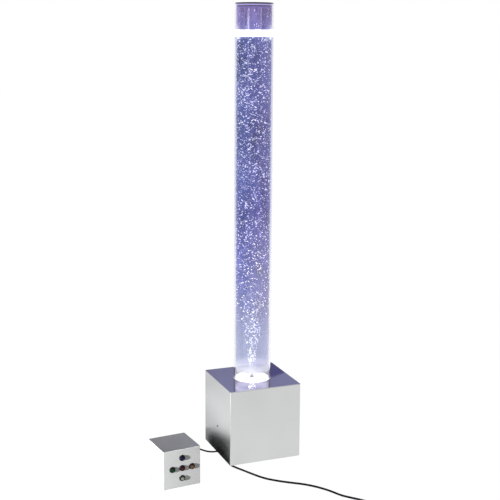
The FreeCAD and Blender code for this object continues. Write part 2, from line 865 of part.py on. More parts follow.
# ------------------------------------------------------------------ air supply
def air_pump():
    """Rounded pump housing with its outlet on top."""
    body = new_body()
    outline = new_sketch(body, offset=PUMP_BOTTOM)
    half_x, half_y = size.pump_length / 2, size.pump_width / 2
    rectangle(outline, half_x, half_y)
    pad(body, outline, size.pump_height)
    round_edges(body, size.pump_corner, lambda e: upright(e, half_x.value, half_y.value))
    level = PUMP_TOP.value
    round_edges(body, size.pump_edge, lambda e: all(abs(v.Z - level) < 0.01 for v in e.Vertexes))
    pad(body, circle(new_sketch(body, offset=PUMP_TOP), size.spigot_radius), size.spigot_height)
    return body


def pump_mounts():
    across = size.pump_length / 2 - size.pump_mount_inset
    along = size.pump_width / 2 - size.pump_mount_inset
    x, y = size.pump_right, -size.pump_front
    return group(
        rod(size.pump_mount_radius, size.pump_mount_height, x + sx * across, y + sy * along, PAN_TOP)
        for sx, sy in CORNERS
    )


def non_return_valve():
    """Barrel on the pump's outlet that keeps the tube's water out of the pump."""
    slope = size.valve_chamfer
    neck = size.valve_neck
    return turned([
        (0, VALVE_BOTTOM), (neck, VALVE_BOTTOM), (neck, VALVE_BOTTOM + 2),
        (size.valve_radius, VALVE_BOTTOM + 2 + slope), (size.valve_radius, VALVE_TOP - 2 - slope),
        (neck, VALVE_TOP - 2), (neck, VALVE_TOP), (0, VALVE_TOP),
    ])


def power_supply():
    """Metal supply case with a fixing ear at each end and a slotted lid."""
    body = new_body()
    half_x, half_y = size.supply_length / 2, size.supply_width / 2
    pad(body, rectangle(new_sketch(body, offset=PAN_TOP), half_x, half_y), size.supply_height)
    ears = new_sketch(body, offset=PAN_TOP)
    rectangle(ears, half_x + size.supply_ear, half_y / 2)
    pad(body, ears, size.pan_thickness)
    slots = new_sketch(body, offset=PAN_TOP + size.supply_height)
    for i in range(-3, 4):
        rectangle(slots, size.fin_width / 2, half_y - 10, i * size.supply_length / 10, 0)
    pocket(body, slots, size.casing_wall)
    return body


def terminal_block():
    body = new_body()
    half_x, half_y = size.terminal_length / 2, size.terminal_width / 2
    pad(body, rectangle(new_sketch(body, offset=PAN_TOP), half_x, half_y), size.terminal_height)
    wells = new_sketch(body, offset=PAN_TOP + size.terminal_height)
    for i in (-1, 0, 1):
        circle(wells, size.screw_radius, i * size.terminal_length / 3)
    pocket(body, wells, size.terminal_height / 2)
    return body


def driver_board():
    """Circuit board of the lamps and the pump, with its relays, on four pillars."""
    x, y = -size.driver_left, size.driver_back
    level = PAN_TOP + size.pillar_height
    top = level + size.board_thickness
    parts = [box(size.driver_length, size.driver_width, size.board_thickness, x, y, level)]
    for i in (-1, 0, 1):
        across = x + i * size.relay_side * 1.5
        parts.append(box(size.relay_side, size.relay_side, size.relay_height, across, y + 12, top))
    row = size.driver_length * 0.7
    parts.append(box(row, size.relay_height / 2, size.relay_height * 0.6, x, y - 20, top))
    return fuse(*parts)


def board_pillars():
    across = size.driver_length / 2 - size.pillar_inset
    along = size.driver_width / 2 - size.pillar_inset
    x, y = -size.driver_left, size.driver_back
    return group(
        rod(size.pillar_radius, size.pillar_height, x + sx * across, y + sy * along, PAN_TOP)
        for sx, sy in CORNERS
    )


# ------------------------------------------------------------------ glands
def gland(cord_radius):
    """Cord gland along Z from the wall's face: hexagon, dome nut and tapered sleeve."""
    sleeve = cord_radius + size.gland_sleeve
    hexed = size.gland_hex_height
    dome = hexed + size.gland_dome
    back = -size.gland_thread_length
    body = turned([
        (0, back), (size.gland_thread, back), (size.gland_thread, 0), (size.gland_hex - 1, 0),
        (size.gland_hex - 1, hexed), (size.gland_hex - 0.5, hexed + 1),
        (size.gland_hex - 0.5, dome - 4), (size.gland_shoulder + 1.5, dome),
        (size.gland_shoulder, dome + 1), (sleeve, GLAND_LENGTH), (0, GLAND_LENGTH),
    ])
    flats = new_sketch(body)
    polygon(flats, [
        (size.gland_hex * math.cos(math.radians(a)), size.gland_hex * math.sin(math.radians(a)))
        for a in (30, 90, 150, 210, 270, 330)
    ])
    pad(body, flats, hexed)
    return body


TO_LEFT = Rotation(Vector(0, 1, 0), -90)
TO_BACK = Rotation(Vector(1, 0, 0), -90)
TO_FRONT = Rotation(Vector(1, 0, 0), 90)


def gland_nut():
    nut = hexagon(size.gland_hex, size.gland_nut_height)
    bore = rod(size.gland_thread + size.screw_clearance, 3 * size.gland_nut_height,
               z=-size.gland_nut_height)
    return cut(nut, bore)


def gland_nuts():
    """Lock nuts of the two base glands, inside the hood's wall."""
    back = HOOD_RIGHT + size.pan_thickness + size.gland_nut_height
    return group(
        place(gland_nut(), back, side * size.gland_pitch / 2 - size.hood_front, GLAND_LEVEL, TO_LEFT)
        for side in (-1, 1)
    )


# ------------------------------------------------------------------ control cube
def button_spots():
    """Each button's colour with its place on the face, across and up from the face's centre."""
    pitch = size.button_spacing
    return {name: (right * pitch, up * pitch) for name, (right, up) in BUTTONS.items()}


def control_casing():
    """Folded cube, open below, with a post in each corner and holes for buttons and lead."""
    body = new_body()
    outline = rectangle(new_sketch(body, offset=size.control_gap), CONTROL_HALF, CONTROL_HALF)
    pad(body, outline, size.control_side)
    half = CONTROL_HALF.value
    round_edges(body, size.control_corner, lambda e: upright(e, half, half))
    room = rectangle(new_sketch(body, offset=size.control_gap), CONTROL_INSIDE, CONTROL_INSIDE)
    pocket(body, room, size.control_side - size.control_wall, reverse=True)
    posts = new_sketch(body, offset=size.control_gap + size.control_plate)
    middle = CONTROL_INSIDE - size.control_post / 2
    for sx, sy in CORNERS:
        rectangle(posts, size.control_post / 2, size.control_post / 2, sx * middle, sy * middle)
    pad(body, posts, size.control_post_height)
    threads = new_sketch(body, offset=size.control_gap)
    for sx, sy in CORNERS:
        circle(threads, size.screw_radius + size.screw_clearance, sx * middle, sy * middle)
    depth = size.control_plate + 2 * size.screw_grip + size.screw_clearance
    pocket(body, threads, depth, reverse=True)
    face = new_sketch(body, "XZ_Plane", CONTROL_HALF)
    for across, up in button_spots().values():
        hole = size.button_radius + size.button_hole_clearance
        circle(face, hole, across, CONTROL_FACE_CENTRE + up)
    pocket(body, face, 2 * size.control_wall)
    back = new_sketch(body, "XZ_Plane", -CONTROL_HALF)
    hole = size.gland_thread + size.screw_clearance
    circle(back, hole, size.control_gland_offset, size.control_gland_height)
    pocket(body, back, 2 * size.control_wall, reverse=True)
    return body


def control_base():
    """Plate that closes the control cube from below."""
    body = new_body()
    half = CONTROL_INSIDE - size.control_clearance
    plate = rectangle(new_sketch(body, offset=size.control_gap), half, half)
    middle = CONTROL_INSIDE - size.control_post / 2
    for sx, sy in CORNERS:
        circle(plate, size.screw_radius + size.screw_clearance, sx * middle, sy * middle)
    pad(body, plate, size.control_plate)
    return body


def control_base_screws():
    """Screws driven up through the plate into the casing's posts."""
    down = Rotation(Vector(1, 0, 0), 180)
    middle = CONTROL_INSIDE - size.control_post / 2
    length = size.control_plate + 2 * size.screw_grip
    return group(
        screw(length, sx * middle, sy * middle, size.control_gap, down) for sx, sy in CORNERS
    )


def control_feet():
    spread = CONTROL_HALF - size.control_foot_inset
    return group(
        rod(size.control_foot_radius, size.control_gap, sx * spread, sy * spread)
        for sx, sy in CORNERS
    )


def control_circuit():
    """Small board on four legs that reads the contacts."""
    level = size.control_gap + size.control_plate
    top = level + size.pillar_height + size.board_thickness
    length, width, back = size.circuit_length, size.circuit_width, size.circuit_back
    parts = [box(length, width, size.board_thickness, 0, back, level + size.pillar_height)]
    for sx, sy in CORNERS:
        across = sx * (length / 2 - size.pillar_inset)
        along = back + sy * (width / 2 - size.pillar_inset)
        parts.append(rod(size.pillar_radius, size.pillar_height, across, along, level))
    parts.append(box(length * 0.6, size.terminal_width / 2, size.relay_height / 2, 0, back, top))
    return fuse(*parts)


# ------------------------------------------------------------------ push buttons
# Each is drawn along Z, out of the cube's face, with Z = 0 on the face.
def button_barrel():
    """Fixed collar of a button: flange on the face, shank through it and a web for the stem."""
    bore = size.cap_radius + size.cap_clearance
    web_top = -size.button_web_depth
    web_bottom = web_top - size.button_web
    stem = size.stem_radius + size.stem_clearance
    end = -size.button_shank
    return turned([
        (bore, web_top), (bore, size.button_reach), (size.button_radius - 0.6, size.button_reach),
        (size.button_radius, size.button_reach - 0.6), (size.button_radius, size.button_flange_height),
        (size.button_flange, size.button_flange_height), (size.button_flange, 0),
        (size.button_radius, 0), (size.button_radius, end), (bore, end), (bore, web_bottom),
        (stem, web_bottom), (stem, web_top),
    ])


def button_cap():
    """Moving cap: a domed lens with a skirt in the barrel and a stem through the web."""
    dome = size.cap_dome
    rim = CAP_TIP - dome
    skirt = rim - size.cap_skirt
    ceiling = CAP_TIP - dome - size.cap_wall
    inner = size.cap_radius - size.cap_wall
    tail = -size.button_shank - size.stem_entry
    return turned([
        (0, tail), (size.stem_radius, tail), (size.stem_radius, ceiling), (inner, ceiling),
        (inner, skirt), (size.cap_radius, skirt), (size.cap_radius, rim),
        (size.cap_radius * 0.85, rim + dome * 0.55), (size.cap_radius * 0.5, rim + dome * 0.9),
        (0, CAP_TIP),
    ])


def button_spring():
    """Return spring between the web and the cap, drawn as the sleeve that its coils fill."""
    outer = size.spring_radius
    inner = outer - size.spring_wire
    low = -size.button_web_depth
    high = CAP_TIP - size.cap_dome - size.cap_wall - size.spring_clearance
    body = new_body()
    ring = circle(circle(new_sketch(body, offset=low), outer), inner)
    pad(body, ring, high - low)
    return body


def button_nuts():
    """Nuts that clamp the five barrels from inside the face."""
    nuts = []
    for across, up in button_spots().values():
        nut = hexagon(size.nut_radius, size.nut_height)
        bore = rod(size.button_radius + size.button_hole_clearance, 3 * size.nut_height,
                   z=-size.nut_height)
        depth = CONTROL_HALF - size.control_wall - size.nut_height
        nuts.append(place(cut(nut, bore), across, -depth, CONTROL_FACE_CENTRE + up, TO_FRONT))
    return group(nuts)


def contact_blocks():
    """Switch blocks on the barrels' ends, bored for the caps' stems."""
    blocks = []
    bore = size.stem_radius + size.stem_clearance
    for across, up in button_spots().values():
        block = box(size.contact_side, size.contact_side, size.contact_height)
        well = rod(bore, size.contact_bore + 1, z=size.contact_height - size.contact_bore)
        depth = CONTROL_HALF - size.button_shank - size.contact_height
        blocks.append(place(cut(block, well), across, -depth, CONTROL_FACE_CENTRE + up, TO_FRONT))
    return group(blocks)


# ------------------------------------------------------------------ cords, hose and plug
def arc_of(start, corner, end):
    """Arc from start to end whose tangents meet at the corner."""
    half_turn = (corner - start).getAngle(end - corner) / 2
    lean = math.cos(half_turn) / (1 + math.cos(half_turn))
    chord = (start + end) / 2
    return Part.Arc(start, chord + (corner - chord) * lean, end).toShape()


def route_edges(points):
    """Straight runs joined by tangent arcs as large as their runs allow, with the radii."""
    points = [Vector(*p) for p in points]
    edges, radii, here = [], [], points[0]
    for before, corner, after in zip(points, points[1:], points[2:]):
        reach = 0.45 * min((corner - before).Length, (after - corner).Length)
        turn = (corner - before).getAngle(after - corner)
        start = corner + (before - corner).normalize() * reach
        end = corner + (after - corner).normalize() * reach
        edges.append(Part.LineSegment(here, start).toShape())
        edges.append(arc_of(start, corner, end))
        radii.append(reach / math.tan(turn / 2))
        here = end
    edges.append(Part.LineSegment(here, points[-1]).toShape())
    return edges, radii


def tube_along(edges, radius):
    """Round tube swept along edges that follow on from each other."""
    wire = Part.Wire(edges)
    start = wire.Edges[0].firstVertex(True).Point
    heading = wire.Edges[0].tangentAt(wire.Edges[0].FirstParameter)
    section = Part.Wire(Part.makeCircle(radius, start, heading))
    return wire.makePipeShell([section], True, False)


def swept(name, edges, radius, bore=0.0):
    """A sub-part swept along a route, with its volume held against section times length."""
    shape = tube_along(edges, radius)
    if bore:
        shape = shape.cut(tube_along(edges, bore))
    length = sum(edge.Length for edge in edges)
    wanted = math.pi * (radius**2 - bore**2) * length
    if abs(shape.Volume - wanted) > 0.01 * wanted:
        raise ValueError(f"{name} has not the volume of its section along its length")
    print(f"{name}: {length:.0f} mm long, volume {shape.Volume / wanted:.4f} of section x length")
    thing = doc.addObject("Part::Feature", "swept")
    thing.Shape = shape
    return thing


def biarc(start, heading, end, leaving):
    """Two arcs that join two points of a coil half a turn apart, tangent at each."""
    reach = (end - start).Length / 2
    first, last = start + heading * reach, end - leaving * reach
    middle = (first + last) / 2
    return [arc_of(start, first, middle), arc_of(middle, last, end)]


def coil_edges(cord_radius):
    """Loops that spiral in on the floor, climb one layer and spiral out again."""
    pitch = 2 * cord_radius + size.coil_spacing.value
    stations = []
    for k in range(2 * COIL_HALF_TURNS + 1):
        inward = min(k, 2 * COIL_HALF_TURNS + 1 - k)
        radius = size.coil_radius.value - inward * pitch / 2 - COIL_TUCK.get(k, 0)
        level = cord_radius + (pitch if k > COIL_HALF_TURNS else 0)
        side = 1 if k % 2 else -1
        stations.append((Vector(side * radius, 0, level), Vector(0, -side, 0)))
    edges = [Part.LineSegment(
        stations[0][0] - stations[0][1] * 2 * cord_radius, stations[0][0]).toShape()]
    for (start, heading), (end, leaving) in zip(stations, stations[1:]):
        edges += biarc(start, heading, end, leaving)
    return edges, stations[-1][0]


def least_gap(edges, radius, step=3.0):
    """Least clear distance between stretches of a tube that lie apart along it."""
    points = Part.Wire(edges).discretize(Distance=step)
    apart = int(6 * radius / step) + 1
    reach = min(
        points[i].distanceToPoint(points[j])
        for i in range(len(points)) for j in range(i + apart, len(points))
    )
    return reach - 2 * radius


def mains_plug():
    """Round two-pin plug, drawn along Z from its face to the end of its tail."""
    grip = size.plug_body + size.plug_grip
    tail = grip + size.plug_tail
    end = size.mains_radius + size.gland_sleeve
    body = turned([
        (0, 0), (size.plug_radius - 1, 0), (size.plug_radius, 1), (size.plug_radius, size.plug_body),
        (size.plug_neck + 2, grip - 3), (size.plug_neck, grip), (size.plug_neck - 1.5, grip + 2),
        (end, tail), (0, tail),
    ])
    pins = new_sketch(body)
    for side in (-1, 1):
        circle(pins, size.plug_pin_radius, side * size.plug_pin_spacing / 2)
    pad(body, pins, size.plug_pin_length, reverse=True)
    return body


# ------------------------------------------------------------------ assembly
node("base_casing", base_casing())
node("base_pan", base_pan())
node("base_feet", base_feet())
node("pan_screws", pan_screws())
node("mirror_top", mirror_top())
node("tube_bridge", tube_bridge())
node("side_screws", side_screws())
node("tube_collar", tube_collar())
node("collar_screws", collar_screws())
node("acrylic_tube", acrylic_tube())
node("tube_floor", tube_floor())
node("air_nozzle", air_nozzle())
node("nozzle_nut", nozzle_nut())
node("led_heat_sink", led_heat_sink())
node("led_board", led_board())
node("led_emitters", led_emitters())
node("water_column", water_column())
node("tube_lid", tube_lid())
node("lid_seal", lid_seal())
node("air_pump", air_pump(), BASE_X + size.pump_right, BASE_Y - size.pump_front)
node("pump_mounts", pump_mounts())
node("non_return_valve", non_return_valve(), BASE_X + size.pump_right, BASE_Y - size.pump_front)
node("power_supply", power_supply(), BASE_X + BASE_HALF - size.supply_edge, BASE_Y + size.supply_back)
node("terminal_block", terminal_block(), BASE_X + size.terminal_right, BASE_Y + size.terminal_back)
node("driver_board", driver_board())
node("board_pillars", board_pillars())
gland_x = BASE_X + HOOD_RIGHT
mains_y = -size.gland_pitch / 2 - size.hood_front
lead_y = size.gland_pitch / 2 - size.hood_front
node("mains_gland", gland(size.mains_radius), gland_x, BASE_Y + mains_y, GLAND_LEVEL, TO_LEFT)
node("base_lead_gland", gland(size.lead_radius), gland_x, BASE_Y + lead_y, GLAND_LEVEL, TO_LEFT)
node("gland_nuts", gland_nuts())

in_control("control_casing", control_casing())
in_control("control_base", control_base())
in_control("control_base_screws", control_base_screws())
in_control("control_feet", control_feet())
in_control("control_circuit", control_circuit())
in_control(
    "cube_lead_gland", gland(size.lead_radius), size.control_gland_offset, CONTROL_HALF,
    size.control_gland_height, TO_BACK,
)
in_control(
    "cube_gland_nut", gland_nut(), size.control_gland_offset,
    CONTROL_INSIDE - size.gland_nut_height, size.control_gland_height, TO_BACK,
)
for colour, (right, up) in button_spots().items():
    spot = (right, -CONTROL_HALF, CONTROL_FACE_CENTRE + up, TO_FRONT)
    in_control(f"{colour}_barrel", button_barrel(), *spot)
    in_control(f"{colour}_cap", button_cap(), *spot)
    in_control(f"{colour}_spring", button_spring(), *spot)
in_control("button_nuts", button_nuts())
in_control("contact_blocks", contact_blocks())

# Cords: the mains lead runs out under the front of the base and ends in a put-away coil.
mains = size.mains_radius.value
turn_to_coil = Rotation(Vector(0, 1, 0), Vector(*COIL_HEADING, 0).normalize())
entry = Vector(*COIL_START, mains)
coil, coil_end = coil_edges(mains)
coil_middle = entry + turn_to_coil.multVec(Vector(size.coil_radius.value, 2 * mains, -mains))
coil_spot = BASE_X + coil_middle.x, BASE_Y + coil_middle.y, 0
tail_tip = Vector(*PLUG_TAIL_END, size.plug_radius.value)
tail, tail_radii = route_edges([coil_end] + PLUG_ROUTE + [tail_tip])
print("least gap of the coil to itself:", round(least_gap(coil, mains), 2), "mm")
print("plug tail radii:", [round(r) for r in tail_radii])
node("mains_coil", swept("mains_coil", coil + tail, mains), *coil_spot, turn_to_coil)

mains_start = (HOOD_RIGHT - GLAND_LENGTH).value, mains_y.value, GLAND_LEVEL.value
mains_route, mains_radii = route_edges([mains_start] + MAINS_ROUTE + [tuple(entry)])
print("mains cord radii:", [round(r) for r in mains_radii])
node("mains_cord", swept("mains_cord", mains_route, mains))

cube_tip = TURN.multVec(Vector(
    size.control_gland_offset.value, (CONTROL_HALF + GLAND_LENGTH).value, 0))
lead_end = (
    cube_tip.x - size.control_left.value, cube_tip.y - size.control_front.value,
    size.control_gland_height.value,
)
lead_start = mains_start[0], lead_y.value, mains_start[2]
lead_route, lead_radii = route_edges([lead_start] + LEAD_ROUTE + [lead_end])
print("control lead radii:", [round(r) for r in lead_radii])
node("control_lead", swept("control_lead", lead_route, size.lead_radius.value))

# Air hose from the valve up through the bridge to the nozzle's barb.
pump_x, pump_y = size.pump_right.value, -size.pump_front.value
hose_top = (NOZZLE_BOTTOM - 1).value
hose_route, hose_radii = route_edges([
    (pump_x, pump_y, VALVE_TOP.value), (pump_x, pump_y, VALVE_TOP.value + 34),
    (pump_x * 0.75, pump_y * 0.75, VALVE_TOP.value + 64),
    (pump_x * 0.25, pump_y * 0.25, hose_top - 70), (0, 0, hose_top - 38), (0, 0, hose_top),
])
print("air hose radii:", [round(r) for r in hose_radii])
node("air_hose", swept("air_hose", hose_route, size.hose_radius.value, size.hose_bore.value))

plug_heading = (tail_tip - Vector(*PLUG_ROUTE[-1])).normalize()
plug_length = size.plug_body + size.plug_grip + size.plug_tail
plug_turn = Rotation(Vector(0, 0, 1), -plug_heading) * Rotation(Vector(0, 0, 1), 90)
plug_face = coil_middle + turn_to_coil.multVec(tail_tip + plug_heading * plug_length.value)
plug_spot = BASE_X + plug_face.x, BASE_Y + plug_face.y, plug_face.z
node("mains_plug", mains_plug(), *plug_spot, turn_to_coil * plug_turn)

# ------------------------------------------------------------------ check and write
doc.recompute()
for thing in doc.Objects:
    if "Invalid" in thing.State or "Error" in thing.State:
        raise ValueError(f"{thing.Label} ({thing.Name}) did not build: {thing.State}")
for thing in nodes:
    if thing.Shape.isNull() or not thing.Shape.isValid():
        raise ValueError(f"{thing.Label} has no valid shape")

os.makedirs("parts", exist_ok=True)
for thing in nodes:
    thing.Shape.exportStep(f"parts/{thing.Label}.step")
    solids = len(thing.Shape.Solids)
    print(f"{thing.Label}: {solids} solid(s), {thing.Shape.Volume / 1000:.1f} cm3")
print(len(nodes), "sub-parts")
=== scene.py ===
"""Looks of the bubble tube floor lamp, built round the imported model.

Metres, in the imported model's frame: +Z is up, the floor is Z = 0 and the wide front of the base
faces -Y. The solids carry their own places; this script gives every one of them its finish and
adds what is not a solid: the rising bubbles, the foam, the wound springs and the smooth cords.
"""

from __future__ import annotations

import json
import logging
import math
import random
from collections.abc import Iterator
from contextlib import contextmanager
from dataclasses import dataclass
from enum import Enum
from typing import Protocol

import bpy
from mathutils import Matrix, Vector, noise

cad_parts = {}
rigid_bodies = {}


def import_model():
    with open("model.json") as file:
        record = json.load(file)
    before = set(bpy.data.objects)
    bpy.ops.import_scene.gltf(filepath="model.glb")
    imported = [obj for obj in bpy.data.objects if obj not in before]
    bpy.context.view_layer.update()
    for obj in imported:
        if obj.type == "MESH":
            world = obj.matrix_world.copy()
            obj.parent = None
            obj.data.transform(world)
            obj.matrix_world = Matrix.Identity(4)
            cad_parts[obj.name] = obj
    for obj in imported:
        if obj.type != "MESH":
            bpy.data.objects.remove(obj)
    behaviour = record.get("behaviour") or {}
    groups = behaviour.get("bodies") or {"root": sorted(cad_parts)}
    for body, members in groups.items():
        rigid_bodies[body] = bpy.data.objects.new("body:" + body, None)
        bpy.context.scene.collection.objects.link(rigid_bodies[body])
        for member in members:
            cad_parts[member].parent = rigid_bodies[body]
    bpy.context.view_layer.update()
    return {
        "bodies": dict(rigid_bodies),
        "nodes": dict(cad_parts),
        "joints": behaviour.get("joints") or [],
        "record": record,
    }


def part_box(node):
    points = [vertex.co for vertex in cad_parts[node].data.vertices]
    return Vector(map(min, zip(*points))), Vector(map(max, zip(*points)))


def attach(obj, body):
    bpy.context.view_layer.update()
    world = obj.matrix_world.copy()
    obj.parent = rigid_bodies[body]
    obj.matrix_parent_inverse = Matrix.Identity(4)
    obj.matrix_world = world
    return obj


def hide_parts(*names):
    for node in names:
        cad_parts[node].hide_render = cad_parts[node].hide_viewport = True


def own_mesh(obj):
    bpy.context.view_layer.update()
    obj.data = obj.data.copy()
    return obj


LOG = logging.getLogger("bubble_tube_lamp")

Colour = tuple[float, float, float]
Point = tuple[float, float, float]
Range = tuple[float, float]
Stops = tuple[tuple[float, Colour], ...]

MM = 0.001
WHITE: Colour = (1.0, 1.0, 1.0)
BLACK: Colour = (0.0, 0.0, 0.0)


class Body(Enum):
    """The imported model's bodies that new pieces ride on."""

    LAMP = "lamp"


class Tint(Enum):
    """The five buttons, each with its lens colour."""

    BLUE = (0.002, 0.002, 0.012)
    GREEN = (0.001, 0.009, 0.003)
    RED = (0.012, 0.0015, 0.002)
    AMBER = (0.034, 0.016, 0.008)
    WHITE = (0.052, 0.052, 0.045)

    @property
    def word(self) -> str:
        """The button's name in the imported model."""
        return self.name.lower()


# ---------------------------------------------------------------------------- shader maths
class Value:
    """A shader socket that carries a number, with arithmetic that adds the nodes for it."""

    def __init__(self, tree: bpy.types.NodeTree, socket: bpy.types.NodeSocket) -> None:
        """Keeps the socket and the tree that its maths goes into."""
        self.tree = tree
        self.socket = socket

    def maths(self, operation: str, *terms: Value | float, clamp: bool = False) -> Value:
        """Adds one Math node.

        Args:
            operation: The Math node's operation.
            terms: Its inputs, in order.
            clamp: Whether the result is held between 0 and 1.

        Returns:
            The node's result.
        """
        node = self.tree.nodes.new("ShaderNodeMath")
        node.operation = operation
        node.use_clamp = clamp
        for slot, term in zip(node.inputs, terms):
            if isinstance(term, Value):
                self.tree.links.new(term.socket, slot)
            else:
                slot.default_value = term
        return Value(self.tree, node.outputs[0])

    def __add__(self, other: Value | float) -> Value:
        """Sum."""
        return self.maths("ADD", self, other)

    def __radd__(self, other: float) -> Value:
        """Sum, number first."""
        return self.maths("ADD", other, self)

    def __sub__(self, other: Value | float) -> Value:
        """Difference."""
        return self.maths("SUBTRACT", self, other)

    def __rsub__(self, other: float) -> Value:
        """Difference, number first."""
        return self.maths("SUBTRACT", other, self)

    def __mul__(self, other: Value | float) -> Value:
        """Product."""
        return self.maths("MULTIPLY", self, other)

    def __rmul__(self, other: float) -> Value:
        """Product, number first."""
        return self.maths("MULTIPLY", other, self)

    def __truediv__(self, other: Value | float) -> Value:
        """Quotient."""
        return self.maths("DIVIDE", self, other)

    def __pow__(self, other: Value | float) -> Value:
        """Power."""
        return self.maths("POWER", self, other)

    def clamped(self) -> Value:
        """The same value held between 0 and 1."""
        return self.maths("ADD", self, 0.0, clamp=True)

    def between(self, low: float, high: float) -> Value:
        """A smooth step that is 0 below low and 1 above high.

        Args:
            low: Where the step starts.
            high: Where it ends.

        Returns:
            The step's value.
        """
        share = self.maths("MULTIPLY", self - low, 1.0 / (high - low), clamp=True)
        return share * share * (3.0 - 2.0 * share)

    def streak(self, middle: float, half: float) -> Value:
        """A ridge over one value, straight down to either side.

        Args:
            middle: Where it is 1.
            half: How far from there it is 0.

        Returns:
            The ridge's value.
        """
        gap = self - middle
        return (1.0 - gap.maths("ABSOLUTE", gap) / half).clamped()


class Nodes:
    """The nodes of a material or of the world while it is being made."""

    def __init__(self, tree: bpy.types.NodeTree) -> None:
        """Empties the tree."""
        self.tree = tree
        tree.nodes.clear()

    def node(
        self, kind: str, settings: dict[str, object] | None = None, **inputs: object
    ) -> bpy.types.Node:
        """Adds any other node.

        Args:
            kind: The node's type.
            settings: Its settings, which are set first; "stops" fills a colour ramp.
            inputs: Its sockets by name, with _ for a space: numbers, vectors or links.

        Returns:
            The node.
        """
        made = self.tree.nodes.new(kind)
        for name, value in (settings or {}).items():
            if name == "stops":
                self.fill_ramp(made.color_ramp, value)
            else:
                setattr(made, name, value)
        for name, value in inputs.items():
            slot = made.inputs[name.replace("_", " ")]
            self.feed(slot, value)
        return made

    @staticmethod
    def fill_ramp(ramp: bpy.types.ColorRamp, stops: Stops) -> None:
        """Writes a ramp's stops.

        Args:
            ramp: The ramp.
            stops: Its (place, colour) pairs, in rising order.
        """
        while len(ramp.elements) > 1:
            ramp.elements.remove(ramp.elements[-1])
        ramp.elements[0].position = stops[0][0]
        ramp.elements[0].color = (*stops[0][1], 1.0)
        for place, colour in stops[1:]:
            ramp.elements.new(place).color = (*colour, 1.0)

    def feed(self, slot: bpy.types.NodeSocket, value: object) -> None:
        """Links a value or socket to a slot, or writes a number or vector to it.

        Args:
            slot: The slot.
            value: What it takes.
        """
        if isinstance(value, Value):
            self.tree.links.new(value.socket, slot)
        elif isinstance(value, bpy.types.NodeSocket):
            self.tree.links.new(value, slot)
        elif isinstance(value, tuple) and slot.type == "RGBA":
            slot.default_value = (*value[:3], 1.0)
        else:
            slot.default_value = value

    def value(self, socket: bpy.types.NodeSocket) -> Value:
        """A socket made ready for arithmetic."""
        return Value(self.tree, socket)

    def spot(self, scale: Point = (1.0, 1.0, 1.0), shift: Point = (0.0, 0.0, 0.0)) -> object:
        """Object coordinates in metres, stretched and moved as asked.

        Args:
            scale: Factor along each axis.
            shift: Move along each axis.

        Returns:
            The vector's socket.
        """
        place = self.node("ShaderNodeTexCoord").outputs["Object"]
        mapped = self.node("ShaderNodeMapping", Vector=place, Scale=scale, Location=shift)
        return mapped.outputs[0]

    def axis(self, name: str) -> Value:
        """One Object coordinate.

        Args:
            name: "X", "Y" or "Z".

        Returns:
            The coordinate in metres.
        """
        place = self.node("ShaderNodeTexCoord").outputs["Object"]
        split = self.node("ShaderNodeSeparateXYZ", Vector=place)
        return self.value(split.outputs[name])

    def across(self, axis: Point) -> Value:
        """The distance to the right of an upright axis, as seen from the front left."""
        return (self.axis("X") - axis[0]) * 0.932 - (self.axis("Y") - axis[1]) * 0.363

    def grain(
        self, scale: float, detail: float = 2.0, stretch: Point = (1.0, 1.0, 1.0),
        roughness: float = 0.5, shift: Point = (0.0, 0.0, 0.0),
    ) -> Value:
        """A noise value about 0.5.

        Args:
            scale: Features per metre.
            detail: Octaves.
            stretch: Factor along each axis, to draw the pattern out.
            roughness: Weight of the finer octaves.
            shift: Move of the pattern.

        Returns:
            The noise.
        """
        made = self.node(
            "ShaderNodeTexNoise", Vector=self.spot(stretch, shift), Scale=scale, Detail=detail,
            Roughness=roughness,
        )
        return self.value(made.outputs["Fac"])

    def blend(self, share: Value | float, low: object, high: object) -> object:
        """Mixes two colours.

        Args:
            share: 0 for the first, 1 for the second.
            low: The first colour.
            high: The second colour.

        Returns:
            The mixed colour's socket.
        """
        made = self.node("ShaderNodeMix", {"data_type": "RGBA"})
        self.feed(made.inputs[0], share)
        self.feed(made.inputs[6], low)
        self.feed(made.inputs[7], high)
        return made.outputs[2]

    def shaded(self, colour: object, amount: Value | float) -> object:
        """A colour times a number.

        Args:
            colour: The colour.
            amount: What it is multiplied by.

        Returns:
            The colour's socket.
        """
        made = self.node("ShaderNodeVectorMath", {"operation": "SCALE"})
        self.feed(made.inputs[0], colour)
        self.feed(made.inputs["Scale"], amount)
        return made.outputs[0]

    def ramp(self, share: Value, stops: Stops) -> object:
        """A colour picked from stops by a value from 0 to 1."""
        return self.node("ShaderNodeValToRGB", {"stops": stops}, Fac=share).outputs[0]

    def seen(self) -> Value:
        """Tells the rays that show a thing from those that light by it.

        Returns:
            1 for rays from the camera, from gloss or through glass, and 0 for the rest.
        """
        path = self.node("ShaderNodeLightPath")
        camera, glossy, through = (self.value(path.outputs[name]) for name in (
            "Is Camera Ray", "Is Glossy Ray", "Is Transmission Ray",
        ))
        return (camera + glossy + through).clamped()


